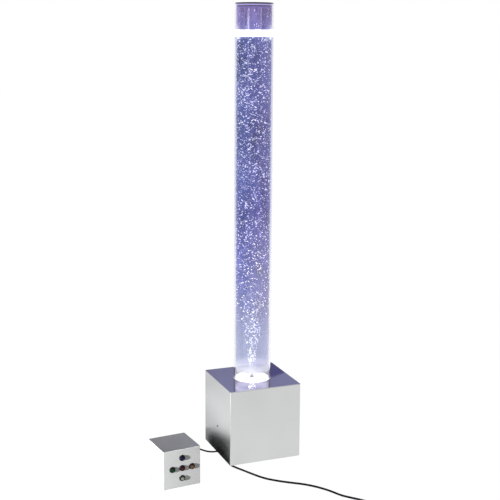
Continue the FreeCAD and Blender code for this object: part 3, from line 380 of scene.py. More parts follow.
class Bench(Nodes):
    """A material while it is being made, with its one main shader."""

    def __init__(self, name: str) -> None:
        """Starts a material with a Principled shader.

        Args:
            name: The material's name.
        """
        self.material = bpy.data.materials.new(name)
        self.material.use_nodes = True
        super().__init__(self.material.node_tree)
        self.output = self.tree.nodes.new("ShaderNodeOutputMaterial")
        self.shader = self.tree.nodes.new("ShaderNodeBsdfPrincipled")
        self.tree.links.new(self.shader.outputs[0], self.output.inputs["Surface"])

    def set(self, **inputs: object) -> None:
        """Feeds sockets of the main shader, with _ for a space in their names."""
        for name, value in inputs.items():
            self.feed(self.shader.inputs[name.replace("_", " ")], value)

    def rim(self, blend: float = 0.5) -> Value:
        """How far the surface turns away from the view, from 0 to 1."""
        return self.value(self.node("ShaderNodeLayerWeight", Blend=blend).outputs["Facing"])

    def raise_by(self, height: Value, distance: float, strength: float = 1.0) -> None:
        """Bumps the surface.

        Args:
            height: The pattern, about 0 to 1.
            distance: Its height in metres.
            strength: The bump's share.
        """
        made = self.node("ShaderNodeBump", Height=height, Distance=distance, Strength=strength)
        self.set(Normal=made.outputs[0])

    def shine_only(self, colour: object, strength: float) -> bpy.types.Material:
        """Closes the material as a black one that shines with a colour."""
        self.set(
            Base_Color=BLACK, Roughness=1.0, Emission_Color=colour, Emission_Strength=strength
        )
        return self.done(0.0, glows=True)

    def done(self, specular: float = 0.5, glows: bool = False) -> bpy.types.Material:
        """Closes the material.

        Args:
            specular: The level of its plain reflection.
            glows: Whether it shines by itself; it is then seen bright but lights nothing.

        Returns:
            The material.
        """
        self.shader.inputs["Specular IOR Level"].default_value = specular
        if glows:
            self.material.cycles.emission_sampling = "NONE"
        return self.material


# ---------------------------------------------------------------------------- finishes
class Finish(Protocol):
    """Anything that makes a material."""

    def make(self) -> bpy.types.Material:
        """Builds the material."""


@dataclass(frozen=True)
class SatinSteel:
    """Satin sheet steel with a fine upright grain, faint cloudiness and softer reflections."""

    name: str = "satin_steel"
    colour: Colour = (0.640, 0.650, 0.645)
    roughness: float = 0.24
    metal: float = 1.0
    # A top set apart in its own colour and metal is painted light: one steel split into two
    # finishes by how the lamps fall on its faces.
    top: float = 9.0
    top_colour: Colour = (0.640, 0.650, 0.645)

    def make(self) -> bpy.types.Material:
        """Builds the material; near the height `top` and above it is metal alone: a second,
        brighter copy of the finish, which is painted light.

        Returns:
            The material.
        """
        bench = Bench(self.name)
        cloud = bench.grain(9.0, 3.0, (1.0, 1.0, 0.6))
        lines = bench.grain(1500.0, 2.0, (1.0, 1.0, 0.02))
        fine = bench.grain(240.0, 4.0)
        tone = 0.94 + cloud * 0.09 + (lines - 0.5) * 0.05
        level = bench.axis("Z").between(self.top - 0.002, self.top - 0.0005)
        bench.set(
            Base_Color=bench.shaded(bench.blend(level, self.colour, self.top_colour), tone),
            Metallic=self.metal + level * (1.0 - self.metal),
            Roughness=self.roughness + (cloud - 0.5) * 0.06 + (fine - 0.5) * 0.04,
        )
        bench.raise_by(lines * 0.7 + fine * 0.3, 0.00004, 0.35)
        return bench.done()


@dataclass(frozen=True)
class SheetSteel:
    """Plated sheet and small steel pieces: a cooler, spangled metal."""

    name: str
    colour: Colour
    roughness: float = 0.38
    spangle: float = 90.0

    def make(self) -> bpy.types.Material:
        """Builds the material.

        Returns:
            The material.
        """
        bench = Bench(self.name)
        cells = bench.node(
            "ShaderNodeTexVoronoi", {"feature": "F1"}, Vector=bench.spot(), Scale=self.spangle
        )
        patch = bench.value(
            bench.node("ShaderNodeSeparateColor", Color=cells.outputs["Color"]).outputs[0]
        )
        wear = bench.grain(40.0, 4.0)
        bench.set(
            Base_Color=bench.shaded(self.colour, 0.86 + patch * 0.12 + wear * 0.12), Metallic=1.0,
            Roughness=self.roughness + patch * 0.10 - wear * 0.06,
        )
        bench.raise_by(wear, 0.00006, 0.3)
        return bench.done()


@dataclass(frozen=True)
class MirrorPlate:
    """Polished plate with a slight violet cast, a painted reflection, the faintest smears and
    satin cut edges.
    """

    top: float
    name: str = "mirror_plate"
    # The violet cast is a painted reflection of the tube's light, not the plate's own colour.
    colour: Colour = (0.80, 0.76, 0.92)
    edge: Colour = (0.42, 0.42, 0.44)

    def make(self) -> bpy.types.Material:
        """Builds the material.

        Returns:
            The material.
        """
        bench = Bench(self.name)
        smear = bench.grain(14.0, 4.0, (1.0, 2.4, 1.0))
        face = bench.axis("Z").between(self.top - 0.0003, self.top - 0.0001)
        polished = bench.shaded(self.colour, 0.95 + smear * 0.08)
        bench.set(
            Base_Color=bench.blend(face, self.edge, polished), Metallic=1.0,
            Roughness=0.30 - face * 0.288 + smear.between(0.45, 0.75) * 0.02,
        )
        return bench.done()


@dataclass(frozen=True)
class Glow:
    """The painted light of the tube at each height, as the light from below and the foam above
    leave it.
    """

    low: float = 0.31
    high: float = 1.82
    # Painted light: white at the foot for the LEDs' light and at the top for the lit foam, violet
    # to blue between.
    steps: Stops = (
        (0.311, (1.000, 1.000, 1.000)),
        (0.336, (0.880, 0.880, 0.980)),
        (0.362, (0.420, 0.460, 0.740)),
        (0.400, (0.130, 0.200, 0.520)),
        (0.510, (0.095, 0.150, 0.490)),
        (0.600, (0.120, 0.140, 0.470)),
        (0.840, (0.150, 0.145, 0.450)),
        (0.920, (0.160, 0.155, 0.450)),
        (1.030, (0.145, 0.150, 0.420)),
        (1.100, (0.138, 0.155, 0.360)),
        (1.600, (0.130, 0.152, 0.340)),
        (1.676, (0.160, 0.185, 0.420)),
        (1.684, (0.850, 0.850, 1.000)),
        (1.811, (0.950, 0.950, 1.000)),
    )

    def colour(self, bench: Bench, height: Value) -> object:
        """The tube's colour at a height.

        Args:
            bench: The material.
            height: The height in metres.

        Returns:
            The colour's socket.
        """
        span = self.high - self.low
        stops = tuple(((z - self.low) / span, colour) for z, colour in self.steps)
        return bench.ramp((height - self.low) / span, stops)


@dataclass(frozen=True)
class ClearAcrylic:
    """The tube's clear wall: polished, faintly tinted and lit from its foot; its colours are
    painted light.
    """

    name: str = "clear_acrylic"
    tint: Colour = (0.965, 0.965, 0.990)
    # Painted light: the wall is tinted bluish where the lit water stands behind it and lilac
    # above the water.
    water_glow_tint: Colour = (0.650, 0.675, 0.855)
    air_glow_tint: Colour = (0.860, 0.830, 0.955)

    def make(self) -> bpy.types.Material:
        """Builds the material.

        Returns:
            The material.
        """
        bench = Bench(self.name)
        height = bench.axis("Z")
        drift = bench.grain(7.0, 2.0, (1.0, 1.0, 0.12))
        # Painted light: a glow of the foam laid across the wall at the water's top.
        foam = height.between(1.680, 1.684) * (1.0 - height.between(1.7075, 1.7105))
        painted_water_glow = bench.blend(height.between(0.58, 1.10), self.tint, self.water_glow_tint)
        tinted = bench.blend(height.between(1.700, 1.712), painted_water_glow, self.air_glow_tint)
        bench.set(
            Base_Color=bench.shaded(tinted, 0.985 + drift * 0.03), Roughness=0.0, IOR=1.30,
            Transmission_Weight=1.0,
            Emission_Color=bench.shaded(WHITE, foam * 0.30), Emission_Strength=1.0,
        )
        return bench.done(glows=True)


@dataclass(frozen=True)
class Water:
    """The water itself: a slight tint that leaves its bubbles in plain view, and a painted glow.
    """

    name: str = "lit_water"

    def make(self) -> bpy.types.Material:
        """Builds the material.

        Returns:
            The material.
        """
        bench = Bench(self.name)
        height = bench.axis("Z")
        colour = Glow().colour(bench, height)
        rim = bench.rim()
        swirl = bench.grain(42.0, 3.0, (1.0, 1.0, 0.55))
        # Painted light: the water glows in the tube's light colours by height, standing in for
        # the LED light that it carries.
        bench.set(
            Base_Color=bench.shaded(colour, 0.35), Roughness=0.1, IOR=1.33,
            Alpha=0.05 + rim ** 4.0 * 0.30,
            Emission_Color=bench.shaded(colour, 0.55 + swirl * 0.4), Emission_Strength=1.0,
        )
        return bench.done(glows=True)


@dataclass(frozen=True)
class Shine:
    """A painted glow, as on bubbles and foam that only catch the light, or the lit floor of the
    tube.
    """

    name: str
    colour: Colour
    strength: float
    mottle: float = 0.0
    mottle_scale: float = 300.0

    def make(self) -> bpy.types.Material:
        """Builds the material.

        Returns:
            The material.
        """
        bench = Bench(self.name)
        spots = bench.grain(self.mottle_scale, 3.0)
        share = 1.0 - self.mottle * spots.between(0.35, 0.70)
        bench.set(
            Base_Color=bench.shaded((0.8, 0.8, 0.8), share), Roughness=0.25,
            Emission_Color=bench.shaded(self.colour, share), Emission_Strength=self.strength,
        )
        return bench.done(glows=True)


@dataclass(frozen=True)
class Moulded:
    """Moulded plastic or rubber with a fine skin texture."""

    name: str
    colour: Colour
    roughness: float = 0.42
    texture: float = 900.0
    depth: float = 0.00004
    shine: float = 0.5

    def make(self) -> bpy.types.Material:
        """Builds the material.

        Returns:
            The material.
        """
        bench = Bench(self.name)
        skin = bench.grain(self.texture, 3.0)
        patch = bench.grain(30.0, 3.0)
        bench.set(
            Base_Color=bench.shaded(self.colour, 0.86 + patch * 0.28),
            Roughness=self.roughness + (patch - 0.5) * 0.12,
        )
        bench.raise_by(skin, self.depth, 0.5)
        return bench.done(self.shine)


@dataclass(frozen=True)
class Lens:
    """A button's tinted lens: deep colour, a painted highlight in its middle and a polished skin.
    """

    name: str
    colour: Colour
    middle: Point
    radius: float = 0.008

    def make(self) -> bpy.types.Material:
        """Builds the material.

        Returns:
            The material.
        """
        bench = Bench(self.name)
        place = bench.node("ShaderNodeTexCoord").outputs["Object"]
        away = bench.node("ShaderNodeVectorMath", {"operation": "DISTANCE"})
        bench.feed(away.inputs[0], place)
        away.inputs[1].default_value = self.middle
        reach = bench.value(away.outputs["Value"]) / self.radius
        fleck = bench.grain(700.0, 2.0)
        # Painted highlight: the colour is brighter at the middle and darker toward the rim.
        tone = 1.35 - reach.between(0.2, 1.0) * 0.85 + (fleck - 0.5) * 0.15
        bench.set(
            Base_Color=bench.shaded(self.colour, tone), Roughness=0.12 + fleck * 0.05,
            Coat_Weight=0.05, Coat_Roughness=0.04,
        )
        return bench.done(0.04)


@dataclass(frozen=True)
class Circuit:
    """A printed board: a mask over copper tracks, drawn by cells."""

    name: str
    mask: Colour
    track: Colour

    def make(self) -> bpy.types.Material:
        """Builds the material.

        Returns:
            The material.
        """
        bench = Bench(self.name)
        cells = bench.node(
            "ShaderNodeTexVoronoi", {"feature": "DISTANCE_TO_EDGE", "distance": "EUCLIDEAN"},
            Vector=bench.spot(), Scale=140.0,
        )
        edge = bench.value(cells.outputs["Distance"])
        track = 1.0 - edge.between(0.03, 0.07)
        bench.set(
            Base_Color=bench.blend(track, self.mask, self.track), Roughness=0.35 - track * 0.1
        )
        bench.raise_by(track, 0.00005, 0.4)
        return bench.done()


@dataclass(frozen=True)
class ClearHose:
    """The soft clear hose: clearer where it faces the view than at its rim."""

    name: str = "clear_hose"
    colour: Colour = (0.75, 0.78, 0.80)
    cover: float = 0.45

    def make(self) -> bpy.types.Material:
        """Builds the material.

        Returns:
            The material.
        """
        bench = Bench(self.name)
        cloud = bench.grain(60.0, 2.0)
        bench.set(
            Base_Color=bench.shaded(self.colour, 0.9 + cloud * 0.2),
            Roughness=0.08 + cloud * 0.03, IOR=1.49,
            Alpha=(self.cover + bench.rim(0.4) * 0.35).clamped(),
        )
        return bench.done()


@dataclass(frozen=True)
class Haze:
    """The cloud of finest bubbles: a painted glow in the light's colour that thickens with
    height.
    """

    foot: float
    axis: Point
    name: str = "lit_haze"
    # Painted light: blue for the haze's left, lilac for its right, pink for an upright highlight
    # and lamplight for its foot.
    blue: Colour = (0.090, 0.165, 0.470)
    fleck: Colour = (0.80, 0.79, 0.98)
    highlight_pink: Colour = (0.90, 0.76, 0.98)
    lamplight: Colour = (0.86, 0.86, 0.94)
    lilac: Stops = (
        (0.500, (0.250, 0.220, 0.550)), (0.600, (0.270, 0.245, 0.570)),
        (0.720, (0.440, 0.410, 0.680)), (0.860, (0.440, 0.410, 0.680)),
        (0.990, (0.310, 0.245, 0.560)),
    )

    def colour(self, bench: Bench, height: Value, depth: Value, lit: Value) -> object:
        """The haze's painted glow: bluer on its left, lilac on its right and pale at its foot.

        Args:
            bench: The material.
            height: The height in metres.
            depth: How far the haze has thickened, 0 to 1.
            lit: How near the lamp is, 0 to 1.

        Returns:
            The colour's socket.
        """
        across = bench.across(self.axis)
        # Painted light: bluer to the left and lilac to the right across the view.
        side = across.between(-0.060, 0.060)
        swirl = bench.grain(46.0, 3.0, (1.0, 1.0, 0.6))
        broad = bench.grain(13.0, 2.0, (1.0, 1.0, 0.35), shift=(3.1, 0.7, 0.2))
        fleck = bench.grain(230.0, 2.0, (1.0, 1.0, 0.7))
        tone = 0.48 + swirl.between(0.30, 0.72) * 0.50 + (broad - 0.5) * (0.4 + depth * 1.7)
        plain = bench.shaded(Glow().colour(bench, height), tone)
        right = bench.blend(side * 0.42, plain, bench.ramp(height, self.lilac))
        left = bench.blend((1.0 - side) * 0.30, right, self.blue)
        flecked = bench.blend(fleck.between(0.56, 0.70) * 0.30 * depth, left, self.fleck)
        # Painted highlight: an upright pink streak across the upper haze.
        streak = across.streak(-0.0225, 0.0040) * height.between(1.25, 1.60)
        highlighted = bench.blend(streak * 0.28, flecked, self.highlight_pink)
        return bench.blend(lit * 0.92, highlighted, self.lamplight)

    def make(self) -> bpy.types.Material:
        """Builds the material.

        Returns:
            The material.
        """
        bench = Bench(self.name)
        height = bench.axis("Z")
        rim = bench.rim()
        depth = height.between(0.45, 0.85)
        lit = 1.0 - height.between(0.360, 0.402)
        tinted = self.colour(bench, height, depth, lit)
        cover = 0.40 + depth * 0.57 + lit * 0.42
        soft = 1.0 - rim ** 2.0 * (0.70 - depth * 0.50)
        crown = 1.0 - rim.between(0.20, 0.75) * height.between(1.648, 1.681)
        bench.set(
            Base_Color=bench.shaded(tinted, 0.2), Roughness=0.8,
            Alpha=cover * soft * crown * height.between(self.foot, self.foot + 0.026),
            Emission_Color=tinted, Emission_Strength=0.9,
        )
        return bench.done(0.0, glows=True)


@dataclass(frozen=True)
class LidAcrylic:
    """The tinted lid: near black across its plate, with a painted pale line at its lip and violet
    glow below.
    """

    lip: float = 1.805
    name: str = "lid_acrylic"
    black: Colour = (0.008, 0.005, 0.014)
    body: Colour = (0.012, 0.008, 0.022)
    # Painted light: the pale rim of the plate, and the pale line and violet glow of its wall.
    rim: Colour = (0.70, 0.69, 0.80)
    violet: Colour = (0.235, 0.185, 0.450)
    pale: Colour = (0.430, 0.390, 0.680)

    def make(self) -> bpy.types.Material:
        """Builds the material.

        Returns:
            The material.
        """
        bench = Bench(self.name)
        height = bench.axis("Z")
        runs = bench.grain(60.0, 3.0, (1.0, 1.0, 0.2))
        plate = height.between(self.lip - 0.0003, self.lip + 0.0003)
        # Painted highlight: the plate's glow pales toward its rim where it turns from view.
        dark = bench.blend(bench.rim() ** 3.0 * 0.75, self.black, self.rim)
        line = height.between(self.lip - 0.007, self.lip - 0.0045)
        wall = bench.blend(line, bench.shaded(self.violet, 0.65 + runs * 0.5), self.pale)
        bench.set(
            Base_Color=bench.blend(plate, bench.shaded(wall, 0.2), self.body),
            Roughness=0.08 + runs * 0.05, Alpha=0.94,
            Emission_Color=bench.blend(plate, wall, dark), Emission_Strength=0.85,
        )
        return bench.done(0.2, glows=True)


@dataclass(frozen=True)
class Mist:
    """The wet film on the wall above the water: painted violet light, streaked and clearer near
    the edges.
    """

    axis: Point
    name: str = "wall_mist"
    white: Colour = (0.72, 0.70, 0.95)
    # The colours of two painted highlights: upright streaks of light left and right of the
    # middle.
    left: Colour = (0.72, 0.73, 0.98)
    right: Colour = (0.66, 0.62, 0.92)
    steps: Stops = (
        (0.0, (0.260, 0.270, 0.580)), (0.35, (0.215, 0.205, 0.490)),
        (0.75, (0.245, 0.190, 0.450)), (1.0, (0.185, 0.125, 0.345)),
    )

    def make(self) -> bpy.types.Material:
        """Builds the material.

        Returns:
            The material.
        """
        bench = Bench(self.name)
        height = bench.axis("Z")
        across = bench.across(self.axis)
        runs = bench.grain(75.0, 3.0, (1.0, 1.0, 0.10))
        patch = bench.grain(24.0, 3.0, shift=(0.4, 1.9, 0.0))
        fine = bench.grain(260.0, 2.0, (1.0, 1.0, 0.6))
        # Painted light: the violet glow dims with height above the water, with a darker patch
        # right of the middle near the top; the runs are streaks of water.
        cool = bench.ramp((height - 1.690) / 0.115, self.steps)
        corner = across.between(-0.010, 0.045) * height.between(1.745, 1.795)
        tone = 0.62 + runs.between(0.34, 0.70) * 0.50 + (patch - 0.5) * 0.6 - corner * 0.22
        white = fine.between(0.60, 0.72) * (1.0 - height.between(1.70, 1.74)) * 0.35
        tinted = bench.blend(white, bench.shaded(cool, tone), self.white)
        low = 1.0 - height.between(1.740, 1.795) * 0.75
        # Painted highlights: two upright streaks of light, the left one fading near the top.
        left = bench.blend(across.streak(-0.0225, 0.0062) * low * 0.8, tinted, self.left)
        right = bench.blend(across.streak(0.0255, 0.0034) * 0.5, left, self.right)
        rim = bench.rim()
        foot = 1.0 - height.between(1.708, 1.745)
        bench.set(
            Base_Color=bench.shaded(right, 0.2), Roughness=0.5,
            Alpha=(0.86 - rim ** 2.0 * 0.40) * (1.0 - rim.between(0.20, 0.75) * foot),
            Emission_Color=right, Emission_Strength=0.9,
        )
        return bench.done(0.1, glows=True)


# ---------------------------------------------------------------------------- making by hand
def clear_selection() -> None:
    """Deselects everything, so that an operator acts on the new piece alone."""
    bpy.ops.object.select_all(action="DESELECT")


@contextmanager
def editing(whole: bool = True) -> Iterator[None]:
    """Puts the new piece into edit mode, and takes it out again.

    Args:
        whole: Whether all of it is selected at the start.

    Yields:
        Nothing.
    """
    bpy.ops.object.mode_set(mode="EDIT")
    if whole:
        bpy.ops.mesh.select_all(action="SELECT")
    yield
    bpy.ops.object.mode_set(mode="OBJECT")


def add_object(name: str, data: bpy.types.ID) -> bpy.types.Object:
    """Adds an object to the scene.

    Args:
        name: Its name.
        data: The mesh, curve, light or camera that it holds.

    Returns:
        The object.
    """
    made = bpy.data.objects.new(name, data)
    bpy.context.scene.collection.objects.link(made)
    return made


def name_new(name: str) -> bpy.types.Object:
    """Names the object that an operator has just added, and its mesh.

    Args:
        name: The name.

    Returns:
        The object.
    """
    made = bpy.context.object
    made.name = name
    made.data.name = name
    return made


def pick_faces(piece: bpy.types.Object, normal: Point, slack: float = 0.35) -> None:
    """Selects, in edit mode, the faces that look along a direction.

    Args:
        piece: The piece, in edit mode.
        normal: The direction.
        slack: How far the normal may turn away, as 1 minus its cosine.
    """
    bpy.ops.mesh.select_all(action="DESELECT")
    bpy.ops.object.mode_set(mode="OBJECT")
    wanted = Vector(normal).normalized()
    for face in piece.data.polygons:
        face.select = face.normal.dot(wanted) > 1.0 - slack
    bpy.ops.object.mode_set(mode="EDIT")


def settle(piece: bpy.types.Object) -> None:
    """Puts a new piece's place into its mesh and leaves its object at the origin.

    Args:
        piece: The piece.
    """
    clear_selection()
    piece.select_set(True)
    bpy.context.view_layer.objects.active = piece
    bpy.ops.object.transform_apply(location=True, rotation=True, scale=True)


def swarm(
    name: str, pattern: bpy.types.Object, places: list[tuple[Point, Point, float]]
) -> bpy.types.Object:
    """Copies one modelled shape to many places as a single mesh.

    Args:
        name: The new piece's name.
        pattern: The shape, about the origin; it is removed at the end.
        places: For each copy its place, its stretch along X, Y and Z, and its lean about X.

    Returns:
        The new piece.
    """
    shape = [vertex.co.copy() for vertex in pattern.data.vertices]
    rings = [tuple(face.vertices) for face in pattern.data.polygons]
    points: list[Vector] = []
    faces: list[tuple[int, ...]] = []
    for place, stretch, lean in places:
        first = len(points)
        facing = Matrix.Rotation(math.atan2(place[1], place[0]), 3, "Z")
        turn = facing @ Matrix.Rotation(lean, 3, "X")
        for point in shape:
            sized = Vector((point.x * stretch[0], point.y * stretch[1], point.z * stretch[2]))
            points.append(turn @ sized + Vector(place))
        faces.extend(tuple(first + index for index in ring) for ring in rings)
    mesh = bpy.data.meshes.new(name)
    mesh.from_pydata(points, [], faces)
    mesh.update()
    piece = add_object(name, mesh)
    mesh.shade_smooth()
    bpy.data.objects.remove(pattern, do_unlink=True)
    return piece


def dress(piece: bpy.types.Object, material: bpy.types.Material) -> None:
    """Gives a whole piece one material."""
    piece.data.materials.clear()
    piece.data.materials.append(material)


# ---------------------------------------------------------------------------- sub-assemblies
@dataclass(frozen=True)
class Crowd:
    """Bubbles or beads near the wall: their heights, how many are tried, and their glow."""

    name: str
    low: float
    high: float
    count: int
    seed: int
    glow: Colour = (1.10, 1.00, 0.96)


# Painted light: the glow colours of the bubbles, standing in for the LED light that they catch.
BRIGHT: Colour = (1.19, 1.08, 0.92)
SOFT: Colour = (0.60, 0.55, 0.66)
CLOUDS = (
    Crowd("low_bubbles", 0.520, 1.000, 1300, 1, BRIGHT),
    Crowd("middle_bubbles", 1.000, 1.350, 900, 2, BRIGHT),
    Crowd("high_bubbles", 1.350, 1.674, 850, 3, BRIGHT),
    Crowd("dim_low_bubbles", 0.600, 1.150, 1300, 6, SOFT),
    Crowd("dim_high_bubbles", 1.150, 1.674, 1500, 7, SOFT),
)
BEADS = (
    Crowd("low_beads", 0.450, 1.000, 1500, 4), Crowd("high_beads", 1.000, 1.664, 2200, 5),
)


@dataclass
class BubbleTube:
    """What fills the clear tube: haze, the bubbles, the foam and the drops above it.

    Each span is the height at which bubbles start and how far up from there they reach. Those
    of the foam and the drops count from the water's top.
    """

    axis: Vector
    water_top: float = 1.673
    bore: float = 0.0697
    haze_radius: float = 0.0671
    haze_foot: float = 0.328
    mist_top: float = 1.7905
    seed: int = 41
    front: float = math.radians(248.2)
    wall_gap: float = 0.0003
    stream_count: int = 780
    stream_low_count: int = 190
    stream_spans: tuple[Range, Range] = ((0.332, 0.190), (0.500, 0.480))
    speck_count: int = 130
    speck_heights: Range = (0.336, 0.425)
    speck_sizes: Range = (0.0009, 0.0016)
    bead_sizes: Range = (0.0007, 0.0013)
    foam_count: int = 1500
    foam_spans: tuple[Range, Range] = ((0.0105, 0.0245), (-0.003, 0.016))
    foam_main_share: float = 0.86
    foam_rim_share: float = 0.45
    foam_sizes: Range = (0.0018, 0.0040)
    film_foot: float = 0.033
    film_gap: float = 0.0004
    drop_count: int = 110
    drop_span: Range = (0.038, 0.075)
    drop_sizes: Range = (0.0007, 0.0016)
    profile: tuple[tuple[float, float], ...] = (
        (0.328, 0.009), (0.345, 0.015), (0.400, 0.018), (0.450, 0.024), (0.500, 0.034),
        (0.600, 0.043), (0.700, 0.051), (0.900, 0.060), (1.000, 0.0685),
    )

    @staticmethod
    def place(radius: float, angle: float, height: float) -> Point:
        """A point in the tube from its distance to the axis, its bearing and its height."""
        return (radius * math.cos(angle), radius * math.sin(angle), height)

    @staticmethod
    def length(dice: random.Random, share: float, short: Range, long: Range) -> float:
        """A bubble's stretch, from the short range for a share of them and else from the long."""
        return dice.uniform(*(short if dice.random() < share else long))

    @staticmethod
    def lean(dice: random.Random, most: float) -> float:
        """A bubble's lean to either side, in radians."""
        return dice.choice((-1.0, 1.0)) * dice.uniform(0.1, most)

    def spread(self, height: float) -> float:
        """How far from the axis the rising bubbles reach.

        Args:
            height: The height in metres.

        Returns:
            The distance in metres.
        """
        for below, knot in zip(self.profile, self.profile[1:]):
            if height <= knot[0]:
                share = (height - below[0]) / (knot[0] - below[0])
                return below[1] + (knot[1] - below[1]) * max(0.0, share)
        return self.bore

    def faces_front(self, angle: float, dice: random.Random) -> bool:
        """Thins the bubbles out toward the tube's two sides, where they would crowd."""
        return dice.random() < 0.30 + 0.70 * abs(math.cos(angle - self.front))

    def shift(self, piece: bpy.types.Object, finish: Finish) -> None:
        """Dresses a piece, moves it to the tube's axis and lets it ride.

        Args:
            piece: The piece, made about the origin's upright.
            finish: Its finish.
        """
        dress(piece, finish.make())
        piece.data.transform(Matrix.Translation((self.axis.x, self.axis.y, 0.0)))
        piece.data.update()
        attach(piece, Body.LAMP.value)

    @staticmethod
    def dimple(name: str, slack: float, depth: float) -> bpy.types.Object:
        """Names the ball that was just added, and pushes its underside in as on rising ones.

        Args:
            name: The ball's name.
            slack: How far round its underside goes, as 1 minus a cosine.
            depth: How far that is pushed in.

        Returns:
            The ball.
        """
        made = name_new(name)
        with editing():
            pick_faces(made, (0.0, 0.0, -1.0), slack)
            bpy.ops.transform.translate(value=(0.0, 0.0, depth))
        return made

    def bubble(self, rings: int = 5, sides: int = 8) -> bpy.types.Object:
        """Models one bubble.

        Args:
            rings: Its rings from pole to pole.
            sides: Its faces round.

        Returns:
            The bubble, of radius 1.
        """
        clear_selection()
        bpy.ops.mesh.primitive_uv_sphere_add(segments=sides, ring_count=rings, radius=1.0)
        return self.dimple("bubble_pattern", 0.4, 0.28)

    def bead(self) -> bpy.types.Object:
        """Models one of the finest bubbles: a ball of twenty faces.

        Returns:
            The ball, of radius 1.
        """
        clear_selection()
        bpy.ops.mesh.primitive_ico_sphere_add(subdivisions=1, radius=1.0)
        return self.dimple("bead_pattern", 0.3, 0.12)

    @staticmethod
    def column(
        name: str, radius: float, heights: Range, sides: int, rings: int
    ) -> bpy.types.Object:
        """Models an open upright column, cut across into equal rings.

        Args:
            name: The piece's name.
            radius: Its radius.
            heights: Its lower and upper end.
            sides: Its faces round.
            rings: Its rings.

        Returns:
            The column, about the origin's upright.
        """
        clear_selection()
        low, tall = heights[0], heights[1] - heights[0]
        bpy.ops.mesh.primitive_cylinder_add(
            vertices=sides, radius=radius, depth=tall, location=(0.0, 0.0, low + tall / 2),
            end_fill_type="NOTHING",
        )
        made = name_new(name)
        settle(made)
        with editing():
            for number in range(1, rings):
                height = low + tall * number / rings
                bpy.ops.mesh.bisect(plane_co=(0.0, 0.0, height), plane_no=(0.0, 0.0, 1.0))
                bpy.ops.mesh.select_all(action="SELECT")
            bpy.ops.mesh.normals_make_consistent(inside=False)
        return made

    def haze(self) -> None:
        """Models the lit haze of the finest bubbles: a column with a billowing side."""
        heights = (self.haze_foot, self.water_top + 0.009)
        made = self.column("lit_haze", self.haze_radius, heights, 64, 120)
        for vertex in made.data.vertices:
            spot = Vector((vertex.co.x * 26.0, vertex.co.y * 26.0, vertex.co.z * 13.0))
            puff = noise.noise(spot) * 0.0012 + noise.noise(spot * 2.7) * 0.0006
            vertex.co += Vector((vertex.co.x, vertex.co.y, 0.0)).normalized() * puff
        made.data.shade_smooth()
        self.shift(made, Haze(foot=self.haze_foot, axis=tuple(self.axis)))

    def stream(self) -> None:
        """Models the tight stream of bubbles that leaves the nozzle and opens out above it."""
        dice = random.Random(self.seed)
        places = []
        for number in range(self.stream_count):
            low, tall = self.stream_spans[int(number >= self.stream_low_count)]
            height = low + tall * dice.random()
            radius = self.spread(height) * dice.random() ** 0.6
            size = 0.0012 + 0.0014 * dice.random() ** 1.4
            place = self.place(radius, dice.uniform(0.0, math.tau), height)
            long = self.length(dice, 0.75, (0.9, 1.3), (1.6, 2.6))
            stretch = (size * 0.9, size * long, size * dice.uniform(0.65, 1.0))
            places.append((place, stretch, self.lean(dice, 1.2)))
        made = swarm("bubble_stream", self.bubble(), places)
        self.shift(made, Shine("stream_bubbles", (0.98, 0.97, 1.0), 1.9, 0.30, 260.0))

    def specks(self) -> None:
        """Models the dark specks among the bubbles low in the stream."""
        dice = random.Random(self.seed + 11)
        places = []
        for _ in range(self.speck_count):
            height = dice.uniform(*self.speck_heights)
            radius = self.spread(height) * (0.75 + 0.35 * dice.random())
            size = dice.uniform(*self.speck_sizes)
            place = self.place(radius, dice.uniform(0.0, math.tau), height)
            places.append((place, (size, size, size), dice.uniform(-0.6, 0.6)))
        made = swarm("stream_specks", self.bead(), places)
        self.shift(made, Shine("stream_specks", (0.075, 0.030, 0.060), 1.0, 0.3))

    def cloud(self, crowd: Crowd) -> None:
        """Models bubbles that ride near the wall.

        Args:
            crowd: Where, how many and how bright.
        """
        dice = random.Random(self.seed + crowd.seed)
        places = []
        for _ in range(crowd.count):
            height = dice.uniform(crowd.low, crowd.high)
            size = 0.0012 + 0.0018 * dice.random() ** 1.7
            angle = dice.uniform(0.0, math.tau)
            if dice.random() > 0.05 + (height - 0.52) / 0.36 or not self.faces_front(angle, dice):
                continue
            thick = min(size * 0.9, 0.0011)
            radius = dice.uniform(self.haze_radius - 0.0006, self.bore - thick - self.wall_gap)
            long = self.length(dice, 0.75, (0.9, 1.4), (1.7, 2.7))
            stretch = (thick, size * long, size * dice.uniform(0.65, 1.0))
            places.append((self.place(radius, angle, height), stretch, self.lean(dice, 0.9)))
        made = swarm(crowd.name, self.bubble(4, 7), places)
        self.shift(made, Shine(crowd.name, crowd.glow, 1.15, 0.30, 210.0))

    def beads(self, crowd: Crowd) -> None:
        """Models the fine beads between the larger bubbles.

        Args:
            crowd: Where, how many and how bright.
        """
        dice = random.Random(self.seed + crowd.seed)
        places = []
        for _ in range(crowd.count):
            height = dice.uniform(crowd.low, crowd.high)
            size = dice.uniform(*self.bead_sizes)
            angle = dice.uniform(0.0, math.tau)
            if dice.random() > 0.10 + (height - 0.50) / 0.36 or not self.faces_front(angle, dice):
                continue
            radius = dice.uniform(self.haze_radius - 0.0004, self.bore - size - self.wall_gap)
            place = self.place(radius, angle, height)
            places.append((place, (size * 0.8, size, size), dice.uniform(-0.6, 0.6)))
        made = swarm(crowd.name, self.bead(), places)
        self.shift(made, Shine(crowd.name, crowd.glow, 0.85, 0.4))

